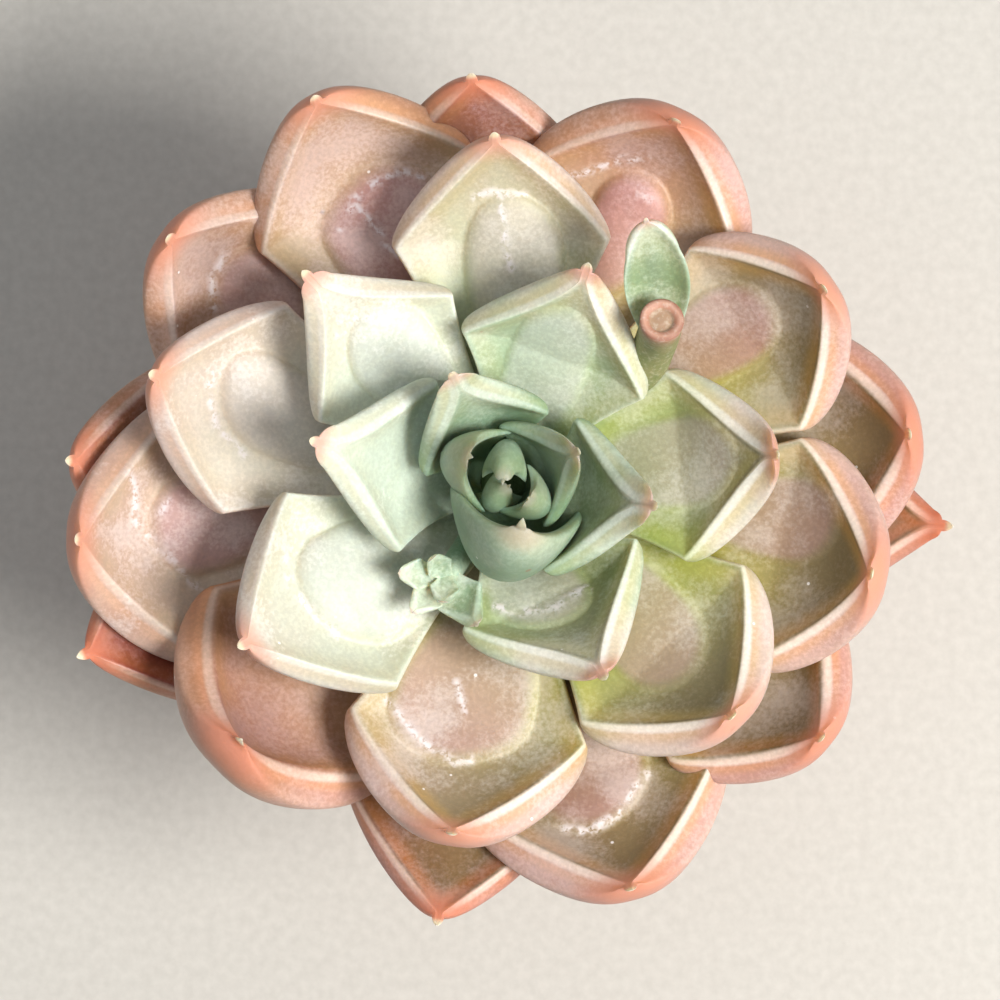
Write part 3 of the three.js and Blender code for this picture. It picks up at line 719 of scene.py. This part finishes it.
# %% Leaf skin
def leaf_marks(tree, where, read, colour, cloud, fine):
    """Adds the wax, partly painted highlight, the crumbs, the pits, the blush and the painted shade of the
    heart, and also says how much wax and highlight there is.
    """
    ripe, bloom = read["ripe"], read["bloom"]
    wax_and_highlight = sums(tree, "ADD", cloud, times(tree, fine, 0.35))
    wax_and_highlight = times(tree, mapped(tree, wax_and_highlight, 0.55, 0.85), bloom)
    # a high bloom whitens the whole leaf: partly wax, partly painted highlight on the leaves whose faces
    # meet the window
    wax_and_highlight = sums(tree, "MAXIMUM", wax_and_highlight, mapped(tree, bloom, 0.5, 1.0, 0.0, 0.6))
    colour = mixed(tree, times(tree, wax_and_highlight, 0.7), colour, mixed(tree, ripe, "#e6efe6", "#dcc8cc"))
    speck = mapped(tree, fine, 0.35, 0.7, 0.93, 1.07)
    colour = node(tree, "ShaderNodeVectorMath", {0: colour, 1: speck}, operation="MULTIPLY").outputs[0]
    broken = mapped(tree, noise(tree, where, 900, 2), 0.4, 0.56)
    chalk = times(tree, times(tree, read["crease"], mapped(tree, fine, 0.34, 0.5)), broken)
    colour = mixed(tree, times(tree, chalk, 0.8), colour, "#e9e2e6")

    crumbs = spots(tree, where, 420)
    crumb = mapped(tree, crumbs.outputs["Distance"], 0.075, 0.045)
    chosen = node(tree, "ShaderNodeSeparateColor", {0: crumbs.outputs["Color"]}).outputs[0]
    crumb = times(tree, crumb, mapped(tree, chosen, 0.80, 0.84))
    colour = mixed(tree, times(tree, crumb, 0.85), colour, "#f4eeee")
    pits = spots(tree, where, 150)
    pit = mapped(tree, pits.outputs["Distance"], 0.055, 0.03)
    chosen = node(tree, "ShaderNodeSeparateColor", {0: pits.outputs["Color"]}).outputs[1]
    pit = times(tree, pit, mapped(tree, chosen, 0.86, 0.9))
    colour = mixed(tree, times(tree, pit, 0.6), colour, "#a4553f")

    blush = times(tree, mapped(tree, read["along"], 0.9, 1.0), mapped(tree, ripe, 0.0, 0.3, 0.5, 0.9))
    colour = mixed(tree, blush, colour, ramp(tree, ripe, *LEAF_COLOURS["tip"]))
    colour = mixed(tree, mapped(tree, read["horn"], 1.15, 1.7), colour, "#f1dfc0")
    # painted shade: within 10 mm of the rosette's axis the colour is darkened towards dark green, as shade
    # deep in the heart
    flat = node(tree, "ShaderNodeVectorMath", {0: where, 1: (1, 1, 0)}, operation="MULTIPLY").outputs[0]
    far = node(tree, "ShaderNodeVectorMath", {0: flat}, operation="LENGTH").outputs["Value"]
    return mixed(tree, mapped(tree, far, 0.010, 0.002, 0, 0.5), colour, "#5f7a5c"), wax_and_highlight


def leaf_skin(name):
    material, tree, shader, where = new_skin(name)
    places = node(tree, "ShaderNodeAttribute", attribute_name="places").outputs
    skin = node(tree, "ShaderNodeAttribute", attribute_name="skin").outputs
    along, gap, pillow = node(tree, "ShaderNodeSeparateColor", {0: places["Color"]}).outputs
    ripe, rose, crease = node(tree, "ShaderNodeSeparateColor", {0: skin["Color"]}).outputs
    read = {"along": along, "gap": gap, "pillow": pillow, "horn": places["Alpha"]}
    read |= {"ripe": ripe, "rose": rose, "crease": crease, "bloom": skin["Alpha"]}
    cloud = noise(tree, where, 160, 3)
    fine = noise(tree, where, 2600, 3, 0.6)
    colour, rim_light = leaf_zones(tree, where, read, cloud)
    colour, wax_and_highlight = leaf_marks(tree, where, read, colour, cloud, fine)
    tree.links.new(colour, shader.inputs["Base Color"])

    shader.subsurface_method = "BURLEY"
    shader.inputs["Subsurface Weight"].default_value = 0.55
    shader.inputs["Subsurface Radius"].default_value = FLESH_REACH
    shader.inputs["Subsurface Scale"].default_value = 1.6 * MM
    shader.inputs["Specular IOR Level"].default_value = 0.45
    shine = sums(tree, "ADD", mapped(tree, fine, 0.3, 0.7, 0.40, 0.52), times(tree, wax_and_highlight, 0.25))
    shine = sums(tree, "SUBTRACT", shine, times(tree, rim_light, 0.12))
    tree.links.new(shine, shader.inputs["Roughness"])
    bumped(tree, shader, [(fine, 0.04 * MM)])
    return material


# how far red, green and blue light travel in the flesh, beside each other
FLESH_REACH = (1.0, 0.62, 0.3)
LEAF_SKIN = leaf_skin("leaf_skin")
print("leaf skin nodes:", len(LEAF_SKIN.node_tree.nodes))

# %% [markdown]
# ## The rosette
# Now every leaf is made from its row, finest where a pillow has to show.

# %% Rosette
PILLOW_LEAF_STEPS = (112, 96, 60)
PLAIN_LEAF_STEPS = (72, 56, 40)
for number in range(1, len(LEAVES) + 1):
    steps = PILLOW_LEAF_STEPS if number in PILLOWS else PLAIN_LEAF_STEPS
    leaf, stations = leaf_blank(f"leaf_{number:02d}_fine", *steps)
    shape_leaf(leaf, rosette_blade(number), stations)
    slot = "leaf_inner" if number <= 8 else "leaf_middle" if number <= 16 else "leaf_outer"
    dress(leaf, LEAF_SKIN, slot, f"leaf_{number:02d}")

# %% [markdown]
# ## The cut flower stalk
# Echeverias flower on a long bare stalk, and this one was cut off short. What stays is a round stub
# with a brown-pink ring of skin and fibre round pale pith on its cut face. It is drawn up from a
# circle, step by step, with the cut's rings inset in its end, and then laid along its route between
# the leaves. A small scale-like leaf, a bract, is left on it.

# %% Stalk
STALK_ROUTE = [(4.4, 30, 5.4), (9, 32, 7.4), (13.4, 36, 10.6), (17.4, 43.5, 16), (18.7, 46.5, 22)]
STALK_RADIUS = 1.8
STALK_STEPS = 26
# the cut's rings are drawn this many times too flat
CUT_RELIEF = 12


def along_route(points, shares):
    """The places and directions at even shares of the length of a smooth line through the points."""
    rows = [2 * points[0] - points[1], *points, 2 * points[-1] - points[-2]]
    line = []
    for p0, p1, p2, p3 in zip(rows, rows[1:], rows[2:], rows[3:]):
        d0, d1, d2 = [math.sqrt(np.linalg.norm(b - a)) for a, b in ((p0, p1), (p1, p2), (p2, p3))]
        first = ((p1 - p0) / d0 - (p2 - p0) / (d0 + d1) + (p2 - p1) / d1) * d1
        last = ((p2 - p1) / d1 - (p3 - p1) / (d1 + d2) + (p3 - p2) / d2) * d1
        bend = 3 * p2 - 3 * p1 - 2 * first - last
        twist = 2 * p1 - 2 * p2 + first + last
        for t in np.linspace(0, 1, 50, endpoint=False):
            line.append(p1 + first * t + bend * t**2 + twist * t**3)
    line = np.array([*line, points[-1]])
    run = np.concatenate([[0], np.cumsum(np.linalg.norm(np.diff(line, axis=0), axis=1))])
    shares = np.asarray(shares)

    def at_share(share):
        return np.stack([np.interp(share * run[-1], run, line[:, k]) for k in range(3)], axis=-1)

    forward = at_share(np.minimum(shares + 0.02, 1)) - at_share(np.maximum(shares - 0.02, 0))
    return at_share(shares), forward / np.linalg.norm(forward, axis=-1)[..., None]


def read_places(piece):
    place = np.empty(len(piece.data.vertices) * 3)
    piece.data.vertices.foreach_get("co", place)
    return place.reshape(-1, 3) / MM


def write_places(piece, place):
    piece.data.vertices.foreach_set("co", (place * MM).ravel())
    piece.data.update()


def start_circle(name, sides, radius, height):
    bpy.ops.object.select_all(action="DESELECT")
    size = radius * MM
    bpy.ops.mesh.primitive_circle_add(vertices=sides, radius=size, fill_type="NGON", location=(0, 0, 0))
    piece = bpy.context.object
    piece.name = piece.data.name = name
    write_places(piece, read_places(piece) + np.array([0, 0, height]))
    bpy.ops.object.mode_set(mode="EDIT")
    bpy.ops.mesh.select_all(action="SELECT")
    return piece


def draw_out(rise, grow, centre_height):
    """Pulls the end of the piece up by rise, in mm, and then makes it broader or narrower."""
    bpy.ops.mesh.extrude_region_move(TRANSFORM_OT_translate={"value": (0, 0, rise * MM)})
    if grow != 1:
        bpy.ops.transform.resize(value=(grow, grow, 1), center_override=(0, 0, centre_height * MM))


def end_drawing():
    bpy.ops.mesh.select_all(action="SELECT")
    bpy.ops.mesh.normals_make_consistent(inside=False)
    bpy.ops.object.mode_set(mode="OBJECT")


stalk = start_circle("flower_stalk_fine", 40, STALK_RADIUS, 0)
for step in range(STALK_STEPS):
    draw_out(1 / STALK_STEPS, 1, 0)
# share of the radius, and how much higher than the ring before
CUT_RINGS = [(0.93, 0.004), (0.86, 0.0), (0.62, -0.004), (0.52, -0.012), (0.44, -0.002), (0.2, 0.006)]
wide = 1.0
for ring, sink in CUT_RINGS:
    draw_out(sink, ring / wide, 0)
    wide = ring
end_drawing()
raw = read_places(stalk)
shares = np.clip(raw[:, 2], 0, 1)
place, forward = along_route([polar(*row) for row in STALK_ROUTE], shares)
across = np.cross(forward, (0.0, 0.0, 1.0))
across /= np.linalg.norm(across, axis=1)[:, None]
over = np.cross(across, forward)
spread = np.hypot(raw[:, 0], raw[:, 1])
turned = np.arctan2(raw[:, 1], raw[:, 0])
swell = 1 + 0.03 * wobble(3, raw[:, 2] * 20, turned * 2) + 0.03 * smooth(shares, 0.94, 1)
place = place + across * (raw[:, 0] * swell)[:, None] + over * (raw[:, 1] * swell)[:, None]
rough_cut = 0.05 * wobble(5, raw[:, 0] * 3, raw[:, 1] * 3) * (shares >= 1)
place += forward * ((raw[:, 2] - shares) * CUT_RELIEF + rough_cut)[:, None]
write_places(stalk, place)
on_cut = (shares >= 0.999).astype(float)
paint_points(stalk, "cut", on_cut, spread / STALK_RADIUS, shares, np.ones_like(shares))
print("stalk length in mm:", round(float(np.linalg.norm(place[0] - place[-1])), 1))

# %% [markdown]
# ## The stalk's skin and its cut
# The skin is olive and browns towards the cut. Across the cut the colours run from the pale pith in
# the middle over a brown ring of fibre to the thin dark skin, so they follow how far out a point is.

# %% Stalk skin
# share of the radius, and the colour there
CUT_COLOURS = [(0, "#a4a287"), (0.4, "#b9b598"), (0.5, "#9a6a55")]
CUT_COLOURS += [(0.62, "#b3826c"), (0.8, "#c79a86"), (0.95, "#9c6f5c")]


def stalk_skin():
    material, tree, shader, where = new_skin("stalk_skin")
    cut = node(tree, "ShaderNodeAttribute", attribute_name="cut")
    end, spread, share = node(tree, "ShaderNodeSeparateColor", {0: cut.outputs["Color"]}).outputs
    fine = noise(tree, where, 2600, 3, 0.6)
    cloud = noise(tree, where, 500, 3)
    skin = ramp(tree, cloud, (0.3, "#75804f"), (0.7, "#8f8c62"))
    skin = mixed(tree, mapped(tree, share, 0.86, 1.0), skin, "#a98a70")
    rings = sums(tree, "ADD", spread, mapped(tree, cloud, 0.2, 0.8, -0.05, 0.05))
    colour = mixed(tree, end, skin, ramp(tree, rings, *CUT_COLOURS))
    colour = mixed(tree, mapped(tree, fine, 0.45, 0.75, 0, 0.3), colour, "#e2dcd0")
    tree.links.new(colour, shader.inputs["Base Color"])
    shader.inputs["Subsurface Weight"].default_value = 0.3
    shader.inputs["Subsurface Radius"].default_value = FLESH_REACH
    shader.inputs["Subsurface Scale"].default_value = 0.8 * MM
    tree.links.new(mapped(tree, fine, 0.3, 0.7, 0.5, 0.7), shader.inputs["Roughness"])
    bumped(tree, shader, [(cloud, 0.1 * MM), (fine, 0.05 * MM)])
    return material


dress(stalk, stalk_skin(), "stalk_skin", "flower_stalk")

# %% [markdown]
# ## The bract
# The scale-like leaf on the stalk is the same kind of body as the others, small, oval and mint green.
# So it comes from the same blank and the same form, with numbers of its own.

# %% Bract
bract_foot = along_route([polar(*row) for row in STALK_ROUTE], [0.86])[0][0]
BRACT = {
    "foot": bract_foot,
    "tip": bract_foot + np.array([-1.3, 8.6, 5.2]),
    "turn": 92,
    "lean": 14,
    "rise": 20,
    "curl": 44,
    "cup": 0.3,
    "width": 5.8,
    "thickness": 1.8,
    "ripe": 0.12,
    "rose": 0.0,
    "bloom": 0.5,
    "number": BRACT_NUMBER,
}
bract, stations = leaf_blank("stalk_bract_fine", 60, 40, 32)
shape_leaf(bract, BRACT, stations)
dress(bract, LEAF_SKIN, "bract_skin", "stalk_bract")

# %% [markdown]
# ## The offset
# A rosette also makes offsets, small new plants between its leaves. This one is a bud of five pointed
# leaves on a short stub at the lower left of the heart. Its leaves are the same blank, much smaller,
# and they are joined to the stub as one piece.

# %% Offset
OFFSET_FOOT = polar(3.6, 237, 8)
OFFSET_HEART = polar(9.4, 237, 14.6)
# turn, length, width, rise
OFFSET_LEAVES = [
    (302, 5.6, 4.8, 32),
    (176, 4.8, 3.0, 34),
    (226, 4.8, 3.4, 30),
    (262, 3.6, 2.8, 54),
    (128, 3.4, 2.6, 56),
]
STUB_RADIUS = 1.1
STUB_STEPS = 8
stub = start_circle("offset_bud_fine", 24, STUB_RADIUS, 0)
for step in range(STUB_STEPS):
    draw_out(1 / STUB_STEPS, 1, 0)
end_drawing()
raw = read_places(stub)
stub_route = [OFFSET_FOOT, (OFFSET_FOOT + OFFSET_HEART) / 2, OFFSET_HEART]
place, forward = along_route(stub_route, np.clip(raw[:, 2], 0, 1))
across = np.cross(forward, (0.0, 0.0, 1.0))
across /= np.linalg.norm(across, axis=1)[:, None]
write_places(stub, place + across * raw[:, :1] + np.cross(across, forward) * raw[:, 1:2])
level = np.ones(len(raw))
paint_points(stub, "places", level * 0.3, level * -4, level * 0, level * 0)
paint_points(stub, "skin", level * 0.05, level * 0, level * 0, level * 0.3)
bud = [stub]
for index, (turn, length, width, rise) in enumerate(OFFSET_LEAVES):
    blade = {
        "foot": OFFSET_HEART + heading(turn, 0) * -0.5,
        "tip": OFFSET_HEART + heading(turn, rise) * length,
        "turn": turn,
        "lean": 0,
        "rise": rise - 14,
        "curl": rise + 26,
        "cup": 0.3,
        "width": width,
        "thickness": 0.34 * width,
        "ripe": 0.06,
        "rose": 0.0,
        "bloom": 0.6,
        "number": OFFSET_NUMBER + index,
    }
    tiny, stations = leaf_blank(f"offset_leaf_{index}", 40, 24, 20)
    bud.append(shape_leaf(tiny, blade, stations))
for piece in bud:
    face_out(piece)
pick(*bud)
bpy.ops.object.join()
dress(bud[0], LEAF_SKIN, "leaf_inner", "offset_bud")

# %% [markdown]
# ## The stem
# Under the leaves stands a short thick stem, brown and corky, ringed with the scars of leaves that
# fell long ago. It is drawn up from a circle in small steps, each a little wider or narrower.

# %% Stem
# radius and height of the stem's outline, in mm
STEM_PROFILE = [(4, 27), (5, 29), (5, 52), (2, 63.8), (1.2, 64.7), (0.4, 65.1)]
heights = np.array([row[1] for row in STEM_PROFILE])
radii = np.array([row[0] for row in STEM_PROFILE])
stations_up = np.linspace(27, 65.1, 64)
stem = start_circle("stem_fine", 40, 4, 27)
wide = 4.0
for low, high in zip(stations_up, stations_up[1:]):
    ridge = 1 + 0.05 * math.sin(high * 4.2) * (high < 58)
    target = float(np.interp(high, heights, radii)) * ridge
    draw_out(high - low, target / wide, high)
    wide = target
end_drawing()
raw = read_places(stem)
turned = np.arctan2(raw[:, 1], raw[:, 0])
bumpy = 1 + 0.03 * wobble(11, turned * 3, raw[:, 2] * 1.3) + 0.02 * wobble(12, turned * 9, raw[:, 2] * 4)
write_places(stem, raw * np.stack([bumpy, bumpy, np.ones_like(bumpy)], axis=-1))


def bark():
    material, tree, shader, where = new_skin("stem_bark")
    flake = noise(tree, where, 420, 5, 0.65, 0.4)
    fine = noise(tree, where, 2400, 3)
    colour = ramp(tree, flake, (0.25, "#5b4632"), (0.5, "#8a7250"), (0.7, "#a39870"))
    height = node(tree, "ShaderNodeSeparateXYZ", {0: where}).outputs[2]
    colour = mixed(tree, mapped(tree, height, 0.059, 0.062), colour, "#63784f")
    tree.links.new(colour, shader.inputs["Base Color"])
    tree.links.new(mapped(tree, fine, 0.3, 0.7, 0.75, 0.95), shader.inputs["Roughness"])
    bumped(tree, shader, [(flake, 0.3 * MM), (fine, 0.06 * MM)])
    return material


dress(stem, bark(), "stem_bark", "stem")

# %% [markdown]
# ## The pot
# The photo shows no pot, so this is the plain small clay one that such plants are sold in. A potter
# turns one from a lump, and here it is drawn up from a circle in the same order: base, wall, collar,
# rim and down again inside, so the wall gets its thickness as it is made. Its drain holes are then
# cut through the floor.

# %% Pot
# radius and height of each turn of the outline, in mm
POT_OUTLINE = [
    (18.1, 0),
    (18.75, 0.25),
    (19.0, 0.9),
    (19.9, 6),
    (21.5, 15),
    (23.2, 24.5),
    (25.4, 36.1),
    (25.75, 36.5),
    (27.15, 36.75),
    (27.35, 37.4),
    (27.6, 41),
    (28.0, 47.1),
    (27.75, 47.75),
    (27.1, 48.0),
    (24.9, 48.0),
    (24.25, 47.75),
    (24.0, 47.1),
    (21.0, 31.0),
    (18.0, 15.0),
    (16.6, 7.0),
    (16.2, 4.6),
    (15.6, 4.0),
]
POT_SIDES = 160
DRAIN_RADIUS = 2.5
DRAIN_PLACES = [(9 * math.cos(a), 9 * math.sin(a)) for a in (0, 2 * math.pi / 3, 4 * math.pi / 3)]
pot = start_circle("pot_fine", POT_SIDES, *POT_OUTLINE[0])
for (wide, low), (target, high) in zip(POT_OUTLINE, POT_OUTLINE[1:]):
    draw_out(high - low, target / wide, high)
end_drawing()
drills = []
for x, y in DRAIN_PLACES:
    bpy.ops.object.select_all(action="DESELECT")
    spot = (x * MM, y * MM, 0)
    bpy.ops.mesh.primitive_cylinder_add(vertices=48, radius=DRAIN_RADIUS * MM, depth=12 * MM, location=spot)
    drills.append(bpy.context.object)
pick(*drills)
bpy.ops.object.join()
drill = drills[0]
pick(pot)
cut = pot.modifiers.new("drain", "BOOLEAN")
cut.operation = "DIFFERENCE"
cut.solver = "EXACT"
cut.object = drill
bpy.ops.object.modifier_apply(modifier="drain")
bpy.data.objects.remove(drill)
print("drain holes cut:", len(DRAIN_PLACES))

# %% [markdown]
# ## The clay
# Fired clay is never one red. It has clouds, fine turning lines from the wheel, dark specks, and a
# pale lime bloom that rises from the foot, where water dries out of it.

# %% Clay
def clay():
    material, tree, shader, where = new_skin("pot_clay")
    cloud = noise(tree, where, 55, 4, 0.6)
    fine = noise(tree, where, 900, 4, 0.65)
    height = node(tree, "ShaderNodeSeparateXYZ", {0: where}).outputs[2]
    turning = {"Vector": where, "Scale": 160, "Distortion": 1.5, "Detail": 2.0}
    rings = node(tree, "ShaderNodeTexWave", turning, bands_direction="Z")
    colour = ramp(tree, cloud, (0.3, "#a65a3d"), (0.5, "#b86a49"), (0.72, "#c68363"))
    colour = mixed(tree, mapped(tree, fine, 0.5, 0.75, 0, 0.35), colour, "#d9a688")
    lime = mapped(tree, noise(tree, where, 130, 5, 0.7), 0.52, 0.72)
    lime = times(tree, lime, mapped(tree, height, 0.048, 0.0, 0.15, 0.8))
    colour = mixed(tree, times(tree, lime, 0.7), colour, "#dccabb")
    speck = mapped(tree, spots(tree, where, 700).outputs["Distance"], 0.16, 0.08)
    colour = mixed(tree, times(tree, speck, 0.5), colour, "#7c3f2a")
    tree.links.new(colour, shader.inputs["Base Color"])
    tree.links.new(mapped(tree, fine, 0.3, 0.7, 0.78, 0.95), shader.inputs["Roughness"])
    bumped(tree, shader, [(rings.outputs["Fac"], 0.05 * MM), (cloud, 0.15 * MM), (fine, 0.06 * MM)])
    return material


dress(pot, clay(), "pot_clay", "pot")
pick(pot)
bpy.ops.object.shade_smooth_by_angle(angle=math.radians(40))

# %% [markdown]
# ## The soil
# Potting soil for succulents is half grit: dark fibrous compost with pumice, bark and a few white
# grains of perlite. The body is drawn like the pot, with many rings on its top so that it can be
# raised and sunk in lumps, and a plain hole in its middle for the stem.

# %% Soil
SOIL_TOP = 44.0
SOIL_RADIUS = 22.97
SOIL_HOLE = 5.3
SOIL_RINGS = 30
SOIL_FLOOR = 4.3
SOIL_FLOOR_RADIUS = 15.75
HOLE_FLOOR = 26.7
RING_RISE = 0.02
soil = start_circle("soil_fine", 120, SOIL_FLOOR_RADIUS, SOIL_FLOOR)
draw_out(SOIL_TOP - SOIL_FLOOR, SOIL_RADIUS / SOIL_FLOOR_RADIUS, SOIL_TOP)
ring_radii = np.linspace(SOIL_RADIUS, SOIL_HOLE, SOIL_RINGS + 1)
for wide, target in zip(ring_radii, ring_radii[1:]):
    draw_out(RING_RISE, float(target / wide), SOIL_TOP)
draw_out(HOLE_FLOOR - SOIL_TOP - RING_RISE * SOIL_RINGS, 1, SOIL_TOP)
end_drawing()


def soil_height(x, y):
    lump = np.sin(1.7 * x + 0.6 * y) * np.cos(1.3 * y - 0.8 * x) + 0.5 * np.sin(2.9 * y)
    return 0.45 * lump + 0.5 * wobble(21, x * 2.6, y * 2.6, 7) + 0.25 * wobble(22, x * 7, y * 7, 7)


raw = read_places(soil)
far = np.hypot(raw[:, 0], raw[:, 1])
on_top = (raw[:, 2] > SOIL_TOP + 0.01) & (far > SOIL_HOLE - 0.1)
lumpy = SOIL_TOP + soil_height(raw[:, 0], raw[:, 1]) * smooth(SOIL_RADIUS - far, 0, 1.5)
raw[:, 2] = np.where(on_top, lumpy, raw[:, 2])
write_places(soil, raw)


def compost(name, dark, middle, light):
    material, tree, shader, where = new_skin(name)
    cloud = noise(tree, where, 380, 5, 0.7)
    fine = noise(tree, where, 1900, 4, 0.7)
    colour = ramp(tree, cloud, (0.3, dark), (0.5, middle), (0.68, light))
    tree.links.new(colour, shader.inputs["Base Color"])
    tree.links.new(mapped(tree, fine, 0.3, 0.7, 0.8, 1.0), shader.inputs["Roughness"])
    bumped(tree, shader, [(cloud, 0.5 * MM), (fine, 0.15 * MM)])
    return material


dress(soil, compost("soil_mix", "#1e140e", "#35261b", "#54402d"), "soil_mix", "soil")

# %% [markdown]
# ## The grit
# One bit of each kind is modelled from a ball with an uneven skin. It is copied over the soil, each
# copy with a mesh of its own, its own size and its own way up, and the copies are joined. Chance is
# seeded, so they lie the same on every run.

# %% Grit
# name, how many, size in mm, colours
GRIT = [
    ("pumice", 110, 0.9, ("#8e8578", "#b5aa9a", "#d2c9ba")),
    ("bark_bits", 70, 1.2, ("#4b2c19", "#7a4a2a", "#9a6a44")),
    ("perlite", 36, 0.8, ("#cfccc4", "#e6e4de", "#f4f3ef")),
]
chance = np.random.default_rng(77)
for name, count, size, tints in GRIT:
    bits = []
    bpy.ops.object.select_all(action="DESELECT")
    bpy.ops.mesh.primitive_ico_sphere_add(subdivisions=2, radius=1)
    seed_bit = bpy.context.object
    shape = read_places(seed_bit) * MM
    lumps = wobble(31 + count, shape[:, 0] * 5, shape[:, 1] * 5 + shape[:, 2] * 4)
    shape = shape * (1 + 0.25 * lumps)[:, None]
    least, flatness = (0.45, (1.6, 0.7, 0.5)) if name == "bark_bits" else (0.6, (1, 1, 1))
    for index in range(count):
        bit = seed_bit.copy()
        bit.data = seed_bit.data.copy()
        bpy.context.collection.objects.link(bit)
        bit.name = f"{name}_{index}"
        stretch = chance.uniform(least, 1.0, 3) * size * chance.uniform(0.5, 1.0) * flatness
        frame_of_bit = np.linalg.qr(chance.normal(size=(3, 3)))[0]
        far = math.sqrt(chance.uniform(0.08, 0.86)) * SOIL_RADIUS
        turn = chance.uniform(0, 2 * math.pi)
        x, y = far * math.cos(turn), far * math.sin(turn)
        lift = SOIL_TOP + float(soil_height(np.array([x]), np.array([y]))[0]) + 0.1 * size
        write_places(bit, (shape * stretch) @ frame_of_bit + np.array([x, y, lift]))
        face_out(bit)
        bits.append(bit)
    bpy.data.objects.remove(seed_bit)
    pick(*bits)
    bpy.ops.object.join()
    bits[0].name = bits[0].data.name = name
    bits[0].data.materials.append(compost(name, *tints))
    pick(bits[0])
    bpy.ops.object.shade_smooth_by_angle(angle=math.radians(35))
    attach(bits[0], "root")
    print(name, "bits:", count)

# %% [markdown]
# ## The last steps
# The spheres that the leaves were copied from go.

# %% The blanks go
for blank in BLANKS.values():
    bpy.data.objects.remove(blank)
bpy.ops.object.select_all(action="DESELECT")
